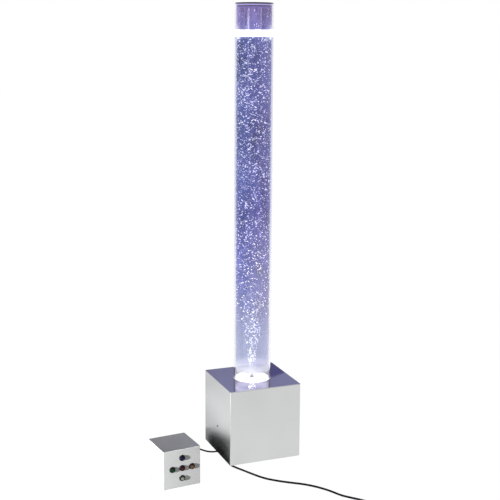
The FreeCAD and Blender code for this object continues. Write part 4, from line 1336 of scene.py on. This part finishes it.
    def foam(self) -> None:
        """Models the foam on the water: packed bubbles in a ragged layer, brightest on top."""
        dice = random.Random(self.seed + 7)
        places = []
        for _ in range(self.foam_count):
            deep = dice.random() ** 0.7
            radius = (self.bore - 0.0045) * math.sqrt(dice.random())
            if dice.random() < self.foam_rim_share:
                radius = self.bore - dice.uniform(0.0042, 0.0075)
            angle = dice.uniform(0.0, math.tau)
            wave = noise.noise(Vector((math.cos(angle) * 2.0, math.sin(angle) * 2.0, 4.2)))
            low, tall = self.foam_spans[int(dice.random() >= self.foam_main_share)]
            height = self.water_top + low + deep * tall + wave * 0.002
            size = dice.uniform(*self.foam_sizes)
            place = self.place(radius, angle, height)
            places.append((place, (size, size, size * 0.85), dice.uniform(-0.4, 0.4)))
        made = swarm("foam", self.bubble(), places)
        self.shift(made, Shine("foam", WHITE, 1.0, 0.10))

    def mist(self) -> None:
        """Models the wet film above the foam: a thin sleeve with a ragged lower edge."""
        low, high = self.water_top + self.film_foot, self.mist_top
        made = self.column("wall_mist", self.bore - self.film_gap, (low, high), 72, 10)
        for vertex in made.data.vertices:
            share = 1.0 - (vertex.co.z - low) / (high - low)
            wave = noise.noise(Vector((vertex.co.x * 70.0, vertex.co.y * 70.0, 3.0)))
            vertex.co.z += wave * 0.008 * share ** 3.0
        made.data.shade_smooth()
        self.shift(made, Mist(axis=tuple(self.axis)))

    def drops(self) -> None:
        """Models the drops and runs of water on the wall above the foam."""
        dice = random.Random(self.seed + 9)
        places = []
        for _ in range(self.drop_count):
            height = self.water_top + self.drop_span[0] + self.drop_span[1] * dice.random()
            size = dice.uniform(*self.drop_sizes)
            place = self.place(self.bore - size * 0.45, dice.uniform(0.0, math.tau), height)
            long = self.length(dice, 0.7, (1.0, 1.6), (2.0, 5.0))
            places.append((place, (size * 0.5, size, size * long), 0.0))
        made = swarm("wall_drops", self.bubble(4, 7), places)
        self.shift(made, Shine("wall_drops", (0.40, 0.36, 0.66), 0.65, 0.3))

    def build(self) -> None:
        """Makes all that fills the tube."""
        self.haze()
        self.stream()
        self.specks()
        for crowd in CLOUDS:
            self.cloud(crowd)
        for crowd in BEADS:
            self.beads(crowd)
        self.foam()
        self.mist()
        self.drops()
        LOG.info("bubble tube: haze, stream, bubbles, beads, foam and drops")


@dataclass
class Cords:
    """The mains lead with its put-away coil and tie, and the lead to the control cube."""

    base: Vector
    mains_diameter: float = 0.0070
    lead_diameter: float = 0.0055
    coil_radius: float = 52.0
    coil_step: float = 4.15
    half_turns: int = 12
    flat_half_turns: int = 6
    steps_each: int = 6
    lie: float = 3.5
    lift: float = 8.3
    lead_in: float = 7.0
    tucks: tuple[tuple[int, float], ...] = ((7, 3.2), (8, 1.4))
    pull: float = 0.966
    heading: Point = (0.45, -0.893, 0.0)
    tie_span: Range = (22.0, 57.5)
    tie_half_width: float = 6.5
    tie_heights: Range = (0.9, 16.6)
    tie_bearing: float = math.radians(215.0)
    tie_corner: float = 5.5
    tie_thickness: float = 0.0008
    tie_edge: float = 0.0002
    mains_route: tuple[Point, ...] = (
        (-35, -46, 26), (-58, -46, 26), (-82, -49, 20), (-105, -60, 8), (-126, -79, 3.5),
        (-140, -106, 3.5), (-142, -136, 3.5), (-130, -166, 3.5), (-113, -201, 3.5),
        (-95, -240, 3.5), (-66, -297, 3.5), (-28, -336.5, 3.5), (13, -370, 3.5),
        (56, -401, 3.5), (93, -441, 3.5), (124, -491, 3.5), (144, -540, 3.5), (170, -571, 3.5),
        (199, -604, 3.5), (224, -641, 3.5), (238.5, -675.2, 3.5), (252, -702, 3.5),
    )
    coil_tail: tuple[Point, ...] = (
        (-48.2, 26, 11.1), (-45.5, 52, 12.5), (-35, 76, 15.5), (-15, 92, 18.5), (8, 94, 18.5),
    )
    lead_route: tuple[Point, ...] = (
        (-35, 10, 26), (-58, 10, 26), (-82, 11, 19), (-105, 13, 8), (-126, 16, 2.75),
        (-147, 18, 2.75), (-167, 20, 2.75), (-187, 36, 2.75), (-201, 62, 2.75),
        (-218, 85, 2.75), (-246, 99, 2.75), (-280, 98, 2.75), (-312, 86, 2.75),
        (-341, 66, 2.75), (-362, 40, 2.75), (-374, 12, 6), (-379, -14, 16),
        (-380.1, -40.2, 22), (-377.65, -65.1, 22),
    )

    def placed(self, point: Point) -> Vector:
        """A base-centred point in millimetres as a place in metres."""
        return Vector(point) * MM + Vector((self.base.x, self.base.y, 0.0))

    def station_radius(self, half_turn: float) -> float:
        """The coil's radius at one place along it.

        Args:
            half_turn: The half turns from the coil's start to there.

        Returns:
            The radius in millimetres.
        """
        low = math.floor(half_turn)
        pair = []
        for number in (low, low + 1):
            tuck = dict(self.tucks).get(number, 0.0)
            layer = min(number, self.half_turns + 1 - number)
            pair.append(self.coil_radius - layer * self.coil_step - tuck)
        return pair[0] + (pair[1] - pair[0]) * (half_turn - low)

    def coil_frame(self) -> Matrix:
        """The coil's place and turn.

        Returns:
            What takes the coil's own axes, +Y along the cord's heading, to the base's.
        """
        along = Vector(self.heading).normalized()
        across = Vector((along.y, -along.x, 0.0))
        entry = Vector(self.mains_route[-1])
        centre = entry + across * self.coil_radius + along * self.lead_in
        return Matrix((
            (across.x, along.x, 0.0, centre.x), (across.y, along.y, 0.0, centre.y),
            (0.0, 0.0, 1.0, 0.0), (0.0, 0.0, 0.0, 1.0),
        ))

    def coil_points(self) -> list[Point]:
        """The coil's turns and the tail that ends in the plug.

        Returns:
            Their control points, base-centred in millimetres.
        """
        frame = self.coil_frame()
        points = []
        for step in range(1, self.half_turns * self.steps_each + 1):
            half_turn = step / self.steps_each
            angle = half_turn * math.pi
            radius = self.station_radius(half_turn) / self.pull
            rise = min(1.0, max(0.0, half_turn - self.flat_half_turns))
            height = self.lie + self.lift * rise * rise * (3.0 - 2.0 * rise)
            points.append((-radius * math.cos(angle), radius * math.sin(angle), height))
        return [tuple(frame @ Vector(point)) for point in (*points, *self.coil_tail)]

    def spline(
        self, name: str, route: list[Vector], diameter: float, loose: range, fuller: float
    ) -> bpy.types.Object:
        """Lays a round cord along a smooth line through a route's control points.

        Args:
            name: The piece's name.
            route: The control points in metres.
            diameter: The cord's diameter in metres.
            loose: The control points between the glands and the coil, where it lies free.
            fuller: How much fuller its jacket is there.

        Returns:
            The cord.
        """
        curve = bpy.data.curves.new(name, "CURVE")
        curve.dimensions = "3D"
        line = curve.splines.new("NURBS")
        line.points.add(len(route) - 1)
        for number, (slot, point) in enumerate(zip(line.points, route)):
            swell = fuller if number in loose else 1.0
            slot.co = (point.x, point.y, point.z + diameter / 2 * (swell - 1.0), 1.0)
            slot.radius = diameter / 2 * swell
        line.order_u = 3
        line.use_endpoint_u = True
        line.resolution_u = 6
        curve.bevel_depth = 1.0
        curve.bevel_resolution = 4
        curve.use_fill_caps = True
        made = add_object(name, curve)
        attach(made, Body.LAMP.value)
        return made

    def tie(self) -> bpy.types.Object:
        """Models the strap round the coil: a thin band bent round all its turns.

        Returns:
            The strap.
        """
        frame = self.coil_frame()
        clear_selection()
        bpy.ops.mesh.primitive_cube_add(size=1.0)
        made = name_new("coil_tie")
        for vertex in made.data.vertices:
            vertex.co = Vector((
                self.tie_span[int(vertex.co.x > 0)],
                math.copysign(self.tie_half_width, vertex.co.y),
                self.tie_heights[int(vertex.co.z > 0)],
            ))
        with editing():
            for side in (1.0, -1.0):
                pick_faces(made, (0.0, side, 0.0), 0.1)
                bpy.ops.mesh.delete(type="FACE")
            bpy.ops.mesh.select_all(action="DESELECT")
        for edge in made.data.edges:
            ends = [made.data.vertices[index].co for index in edge.vertices]
            edge.select = abs(ends[0].y - ends[1].y) > self.tie_half_width
        with editing(whole=False):
            bpy.ops.mesh.select_mode(type="EDGE")
            bpy.ops.mesh.bevel(offset=self.tie_corner, segments=6, affect="EDGES")
            bpy.ops.mesh.select_all(action="SELECT")
            bpy.ops.mesh.normals_make_consistent(inside=False)
        made.data.transform(Matrix.Diagonal((MM, MM, MM, 1.0)))
        sheet = made.modifiers.new("band", "SOLIDIFY")
        sheet.thickness = self.tie_thickness
        sheet.offset = 0.0
        rounding = made.modifiers.new("edges", "BEVEL")
        rounding.width = self.tie_edge
        rounding.segments = 1
        for modifier in ("band", "edges"):
            bpy.ops.object.modifier_apply(modifier=modifier)
        place = frame.copy()
        place.translation = self.placed(tuple(frame.translation))
        made.data.transform(place @ Matrix.Rotation(self.tie_bearing, 4, "Z"))
        made.data.update()
        made.data.shade_smooth()
        dress(made, Moulded("strap_weave", (0.012, 0.012, 0.014), 0.75, 1400.0, 0.00015).make())
        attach(made, Body.LAMP.value)
        return made

    def build(self, plug: bpy.types.Object) -> None:
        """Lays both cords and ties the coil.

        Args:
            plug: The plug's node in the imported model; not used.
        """
        skin = Moulded("cord_black", (0.0030, 0.0030, 0.0034), 0.55, 700.0, 0.00006, shine=0.08)
        route = [self.placed(point) for point in (*self.mains_route, *self.coil_points())]
        free = range(3, len(self.mains_route) - 3)
        mains = self.spline("mains_flex", route, self.mains_diameter, free, 1.12)
        mains.visible_glossy = False
        dress(mains, skin.make())
        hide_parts("mains_cord", "mains_coil")
        self.tie()
        lead_route = [self.placed(point) for point in self.lead_route]
        free = range(2, len(lead_route) - 2)
        lead = self.spline("control_flex", lead_route, self.lead_diameter, free, 1.18)
        dress(lead, skin.make())
        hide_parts("control_lead")
        LOG.info("cords: mains lead with its coil and tie, control lead")


@dataclass
class Dressing:
    """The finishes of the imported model's own solids."""

    nodes: dict[str, bpy.types.Object]

    def plan(self) -> tuple[tuple[Finish, tuple[str, ...]], ...]:
        """Sorts the solids by their finish.

        Returns:
            Each finish with the names of its solids.
        """
        screw = SheetSteel("screw_steel", (0.42, 0.42, 0.43), 0.30, 500.0)
        black = Moulded("black_plastic", (0.0060, 0.0060, 0.0070), 0.42, shine=0.12)
        barrel = Moulded("gloss_black", (0.0025, 0.0025, 0.0032), 0.32, 600.0, 0.00002, 0.06)
        # Painted light: the control casing's sides get a dark, nearly matt copy of the steel and
        # its top the bright metal, so each takes the lamps as it looks lit.
        small_casing = SatinSteel(
            "satin_steel_small", (0.140, 0.141, 0.141), metal=0.05,
            top=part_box("control_casing")[1].z,
        )
        return (
            (SatinSteel(), ("base_casing",)),
            (small_casing, ("control_casing",)),
            (SheetSteel("plated_steel", (0.50, 0.51, 0.53)), (
                "base_pan", "tube_bridge", "control_base", "pump_mounts",
            )),
            (screw, (
                "pan_screws", "side_screws", "collar_screws", "control_base_screws",
                "gland_nuts", "cube_gland_nut", "nozzle_nut", "board_pillars", "button_nuts",
            )),
            (SheetSteel("cast_metal", (0.60, 0.60, 0.61), 0.36, 300.0), (
                "tube_collar", "led_heat_sink",
            )),
            (SheetSteel("nozzle_metal", (0.26, 0.26, 0.30), 0.34, 600.0), ("air_nozzle",)),
            (MirrorPlate(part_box("mirror_top")[1].z), ("mirror_top",)),
            (ClearAcrylic(), ("acrylic_tube",)),
            (Water(), ("water_column",)),
            (Shine("lit_floor", WHITE, 1.0, 0.06, 60.0), ("tube_floor",)),
            (LidAcrylic(), ("tube_lid",)),
            (Shine("lamp_lens", (0.92, 0.94, 1.0), 1.0, 0.2), ("led_emitters",)),
            (Circuit("circuit_green", (0.010, 0.110, 0.040), (0.090, 0.220, 0.080)), (
                "driver_board", "control_circuit",
            )),
            (Circuit("lamp_board", (0.70, 0.71, 0.70), (0.50, 0.42, 0.20)), ("led_board",)),
            (barrel, tuple(f"{tint.word}_barrel" for tint in Tint)),
            (black, (
                "mains_gland", "base_lead_gland", "cube_lead_gland", "contact_blocks",
                "mains_plug", "air_pump", "non_return_valve",
            )),
            (Moulded("white_plastic", (0.70, 0.70, 0.68), 0.45), (
                "power_supply", "terminal_block",
            )),
            (Moulded("foot_rubber", (0.020, 0.020, 0.021), 0.80, 500.0, 0.0001), (
                "base_feet", "control_feet",
            )),
            (Moulded("seal_rubber", (0.030, 0.026, 0.045), 0.60), ("lid_seal",)),
            (ClearHose(), ("air_hose",)),
        )

    def build(self) -> None:
        """Dresses every solid, and tells which are left."""
        left = set(self.nodes)
        for finish, names in self.plan():
            material = finish.make()
            for name in names:
                dress(self.nodes[name], material)
                left.discard(name)
        for tint in Tint:
            name = f"{tint.word}_cap"
            low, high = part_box(name)
            middle = ((low.x + high.x) / 2, low.y, (low.z + high.z) / 2)
            dress(self.nodes[name], Lens(f"{tint.word}_lens", tint.value, middle).make())
            left.discard(name)
        LOG.info("dressed solids, all but: %s", ", ".join(sorted(left)) or "none")


@dataclass
class Springs:
    """The return springs behind the caps: round wire in open coils."""

    press: Point = (-0.100188, 0.994968, 0.0)
    travel: float = 0.003
    wire: float = 0.0005
    wire_sides: int = 10
    turns: int = 6
    steps: int = 20

    def wound(self, name: str, radius: float, length: float) -> bpy.types.Object:
        """Winds one spring up the Z axis from the origin.

        Args:
            name: The piece's name.
            radius: Radius of the wire's middle line.
            length: The spring's whole length.

        Returns:
            The spring, closed at both ends of its wire.
        """
        clear_selection()
        bpy.ops.mesh.primitive_circle_add(
            vertices=self.wire_sides, radius=self.wire, location=(radius, 0.0, self.wire),
            rotation=(math.pi / 2, 0.0, 0.0),
        )
        made = name_new(name)
        settle(made)
        screw = made.modifiers.new("coils", "SCREW")
        screw.screw_offset = (length - 2 * self.wire) / self.turns
        screw.iterations = self.turns
        screw.steps = self.steps
        bpy.ops.object.modifier_apply(modifier="coils")
        with editing():
            bpy.ops.mesh.fill_holes(sides=0)
            bpy.ops.mesh.normals_make_consistent(inside=False)
        made.data.shade_smooth()
        return made

    def build(self, nodes: dict[str, bpy.types.Object]) -> None:
        """Puts a wound spring where each sleeve stands.

        Args:
            nodes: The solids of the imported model.
        """
        steel = SheetSteel("spring_steel", (0.46, 0.46, 0.48), 0.22, 700.0).make()
        press = Vector(self.press)
        turn = Vector((0.0, 0.0, -1.0)).rotation_difference(press).to_matrix().to_4x4()
        for tint in Tint:
            name = f"{tint.word}_spring"
            sleeve = nodes[name]
            places = [sleeve.matrix_world @ vertex.co for vertex in sleeve.data.vertices]
            reach = [place.dot(press) for place in places]
            low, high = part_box(name)
            middle = (low + high) / 2
            inner = middle + press * (max(reach) - middle.dot(press))
            length = max(reach) - min(reach)
            radius = (high.z - low.z) / 2 - self.wire
            made = self.wound(f"{tint.word}_return_spring", radius, length)
            made.data.transform(Matrix.Translation(inner) @ turn)
            made.data.update()
            dress(made, steel)
            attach(made, Body.LAMP.value)
            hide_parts(name)
            1.0 - self.travel / length
            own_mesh(made)
        LOG.info("springs: five return springs of %d turns", self.turns)


@dataclass(frozen=True)
class Flag:
    """A flat board near the floor that only reflections see, base-centred in metres."""

    name: str
    height: float
    colour: Colour
    strength: float
    outline: tuple[tuple[float, float], ...]


FLAGS = (
    Flag("grey_flag", 0.0004, (0.97, 0.97, 0.99), 1.0, (
        (-0.158, -0.120), (-0.158, 0.500), (-0.400, 1.300), (-0.640, 1.300), (-0.400, 0.100),
    )),
    Flag("edge_flag", 0.0005, (0.70, 0.705, 0.735), 1.0, (
        (-0.158, 0.030), (-0.480, 0.835), (-0.480, 1.300), (-0.158, 0.600),
    )),
    Flag("light_strip", 0.0007, WHITE, 1.22, (
        (-0.410, 0.860), (-0.335, 0.700), (-0.285, 0.250), (-0.345, 0.360),
    )),
    Flag("half_flag", 0.0008, (0.26, 0.26, 0.27), 1.0, (
        (-0.153, -0.158), (-0.153, 0.165), (-0.178, 0.275), (-0.215, 0.300), (-0.246, 0.245),
        (-0.268, 0.135), (-0.250, 0.035), (-0.215, -0.045), (-0.176, -0.128),
    )),
    Flag("dark_flag", 0.0010, (0.006, 0.006, 0.007), 1.0, (
        (-0.153, -0.150), (-0.153, 0.118), (-0.176, 0.186), (-0.210, 0.240), (-0.232, 0.205),
        (-0.248, 0.118), (-0.232, 0.040), (-0.203, -0.030), (-0.172, -0.112),
    )),
    Flag("cube_flag", 0.0010, WHITE, 1.5, (
        (-0.475, -0.260), (-0.475, 0.450), (-0.900, 0.450), (-0.900, -0.260),
    )),
    Flag("bright_flag", 0.0006, WHITE, 2.4, (
        (-0.450, -0.340), (-0.450, -1.900), (-2.400, -1.900), (-2.400, -0.340),
    )),
    Flag("coil_flag", 0.0240, WHITE, 1.0, (
        (0.180, -0.500), (0.420, -0.500), (0.420, -0.920), (0.080, -0.920),
    )),
)


@dataclass(frozen=True)
class Strip:
    """An upright board that the tube's wall reflects: its bearing from the front, in degrees."""

    name: str
    bearing: float
    half_width: float
    low: float
    high: float
    strength: float


STRIPS = (
    Strip("left_strip", -36.0, 0.26, 1.72, 1.84, 7.0),
    Strip("left_veil", -36.0, 0.15, 1.45, 1.95, 3.0),
    Strip("right_strip", 36.0, 0.12, 1.70, 1.86, 4.0),
)


@dataclass
class Studio:
    """The pale floor, the boards that the metal reflects, the lamps, the world and the camera."""

    base: Vector
    floor_size: float = 60.0
    band_radius: float = 6.0
    band_low: float = 2.1
    band_high: float = 6.0
    dusk: Colour = (0.175, 0.170, 0.200)
    dusk_violet: Colour = (0.230, 0.240, 0.360)
    dusk_deep: Colour = (0.100, 0.095, 0.215)
    strip_distance: float = 4.0
    front: Point = (-0.371, -0.929, 0.0)
    side_place: Point = (-1.64, -0.84, 0.29)
    eye: Point = (-1.5075, -3.7723, 1.665)
    right: Point = (0.93002, -0.36745, 0.00596)
    up: Point = (0.05547, 0.15639, 0.98614)
    ahead: Point = (0.36329, 0.9168, -0.16583)
    lens: float = 74.448
    shift: float = -0.07
    air_level: float = 0.60
    aim_height: float = 0.7
    beam_spread: float = math.radians(11.0)

    @property
    def middle(self) -> Vector:
        """The floor under the middle of the base."""
        return Vector((self.base.x, self.base.y, 0.0))

    @staticmethod
    def unseen(piece: bpy.types.Object) -> None:
        """Leaves a board to reflections alone.

        Args:
            piece: The board.
        """
        piece.visible_camera = False
        piece.visible_diffuse = False
        piece.visible_shadow = False
        piece.visible_transmission = False

    def card(
        self, name: str, corners: tuple[Point, ...], colour: Colour, strength: float
    ) -> None:
        """Adds a flat board that only reflections see.

        Args:
            name: The board's name.
            corners: Its corners, base-centred, in order.
            colour: Its colour.
            strength: How bright it is.
        """
        mesh = bpy.data.meshes.new(name)
        points = [Vector(corner) + self.middle for corner in corners]
        mesh.from_pydata(points, [], [tuple(range(len(points)))])
        mesh.update()
        made = add_object(name, mesh)
        bench = Bench(name)
        tone = 0.95 + bench.grain(2.0) * 0.1
        dress(made, bench.shine_only(bench.shaded(colour, tone), strength))
        self.unseen(made)

    def band(self) -> None:
        """Adds the dusky band round the studio that both polished tops reflect."""
        clear_selection()
        bpy.ops.mesh.primitive_cylinder_add(
            vertices=96, radius=self.band_radius, depth=self.band_high - self.band_low,
            location=(self.base.x, self.base.y, (self.band_low + self.band_high) / 2),
            end_fill_type="NOTHING",
        )
        made = name_new("dusky_band")
        settle(made)
        bench = Bench("dusky_band")
        across = bench.axis("X") - self.base.x
        violet = across.between(1.55, 2.05) * (1.0 - across.between(2.75, 3.1))
        slope = bench.axis("Z") + across * 0.45
        shade = across.between(2.34, 2.38) * (1.0 - slope.between(3.385, 3.415))
        plain = bench.blend(violet, self.dusk, self.dusk_violet)
        deep = bench.blend(shade, plain, self.dusk_deep)
        tone = 0.68 + bench.grain(1.7, 3.0) * 0.6
        dress(made, bench.shine_only(bench.shaded(deep, tone), 1.0))
        self.unseen(made)
        made.visible_transmission = True

    def boards(self) -> None:
        """Sets the boards that the satin walls and the clear tube reflect."""
        for flag in FLAGS:
            corners = tuple((x, y, flag.height) for x, y in flag.outline)
            self.card(flag.name, corners, flag.colour, flag.strength)
        for strip in STRIPS:
            turn = Matrix.Rotation(math.radians(strip.bearing), 3, "Z")
            toward = turn @ Vector(self.front)
            aside = Vector((-toward.y, toward.x, 0.0)) * strip.half_width
            foot, head = (
                toward * self.strip_distance + Vector((0.0, 0.0, height))
                for height in (strip.low, strip.high)
            )
            corners = (foot - aside, foot + aside, head + aside, head - aside)
            self.card(strip.name, corners, WHITE, strip.strength)

    def floor(self) -> None:
        """Adds the floor: pale, all but white where it is seen, and keeping a soft shadow."""
        clear_selection()
        bpy.ops.mesh.primitive_plane_add(size=self.floor_size, location=(0.0, 0.0, -0.0002))
        made = name_new("studio_floor")
        settle(made)
        bench = Bench("pale_floor")
        tone = 0.985 + bench.grain(1.2, 2.0) * 0.015
        bench.set(Base_Color=bench.shaded((0.95, 0.95, 0.95), tone), Roughness=0.85)
        plain = bench.node("ShaderNodeEmission", Color=WHITE, Strength=1.02)
        mixed = bench.node("ShaderNodeMixShader")
        bench.feed(mixed.inputs[0], bench.seen() * 0.965)
        bench.feed(mixed.inputs[1], bench.shader.outputs[0])
        bench.feed(mixed.inputs[2], plain.outputs[0])
        bench.tree.links.new(mixed.outputs[0], bench.output.inputs["Surface"])
        dress(made, bench.done(0.0))

    def world(self) -> None:
        """Makes the surroundings: white where they are seen, plain soft light otherwise."""
        world = bpy.data.worlds.new("studio_air")
        bpy.context.scene.world = world
        world.use_nodes = True
        nodes = Nodes(world.node_tree)
        strength = self.air_level + nodes.seen() * (1.0 - self.air_level)
        air = nodes.node("ShaderNodeBackground", Color=WHITE, Strength=strength)
        nodes.node("ShaderNodeOutputWorld", Surface=air.outputs[0])

    @staticmethod
    def shine_at(made: bpy.types.Object, place: Vector, aim: Vector) -> None:
        """Stands a lamp at a place and turns it toward a point."""
        made.location = place
        made.rotation_euler = (aim - place).to_track_quat("-Z", "Y").to_euler()

    def lamp(self, name: str, place: Point, size: float, power: float, colour: Colour) -> None:
        """Adds a soft square lamp that looks at the bubble tube.

        Args:
            name: Its name.
            place: Its place, base-centred.
            size: Its side in metres.
            power: Its power in watts.
            colour: Its colour.
        """
        light = bpy.data.lights.new(name, "AREA")
        light.shape = "SQUARE"
        light.size = size
        light.energy = power
        light.color = colour
        made = add_object(name, light)
        aim = self.middle + Vector((0.0, 0.0, self.aim_height))
        self.shine_at(made, Vector(place) + self.middle, aim)
        made.visible_camera = False
        made.visible_glossy = False

    def beam(self, name: str, place: Point, aim: Vector, power: float) -> None:
        """Adds a narrow beam that reaches the control cube alone.

        Args:
            name: The lamp's name.
            place: Where it stands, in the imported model's frame.
            aim: What it points at.
            power: Its power in watts.
        """
        light = bpy.data.lights.new(name, "SPOT")
        light.energy = power
        light.spot_size = self.beam_spread
        light.spot_blend = 0.35
        light.shadow_soft_size = 0.05
        self.shine_at(add_object(name, light), Vector(place), aim)

    def camera(self) -> None:
        """Sets the camera at the photograph's place, angle and framing."""
        data = bpy.data.cameras.new("camera")
        made = add_object("camera", data)
        turn = Matrix((self.right, self.up, -Vector(self.ahead))).transposed()
        made.matrix_world = Matrix.Translation(Vector(self.eye) + self.middle) @ turn.to_4x4()
        data.sensor_width = 36.0
        data.lens = self.lens
        data.shift_y = self.shift
        data.clip_end = 200.0
        bpy.context.scene.camera = made

    def build(self) -> None:
        """Sets the studio up."""
        view = bpy.context.scene.view_settings
        view.view_transform = "Standard"
        self.world()
        self.floor()
        self.band()
        self.boards()
        self.lamp("key_lamp", (-2.2, -3.0, 3.4), 2.4, 50.0, (1.0, 0.99, 0.98))
        self.lamp("side_lamp", self.side_place, 0.13, 94.0, WHITE)
        low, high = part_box("control_casing")
        self.beam("cube_beam", self.side_place, (low + high) / 2, 480.0)
        self.camera()
        LOG.info("studio: floor, world, lamps and camera")


def main() -> None:
    """Builds the scene in order."""
    logging.basicConfig(level=logging.INFO, format="%(name)s: %(message)s")
    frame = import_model()
    low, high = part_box("base_casing")
    base = (low + high) / 2
    Studio(base).build()
    Cords(base).build(frame["nodes"]["mains_plug"])
    Dressing(frame["nodes"]).build()
    Springs().build(frame["nodes"])
    BubbleTube(base).build()


if __name__ == "__main__":
    main()
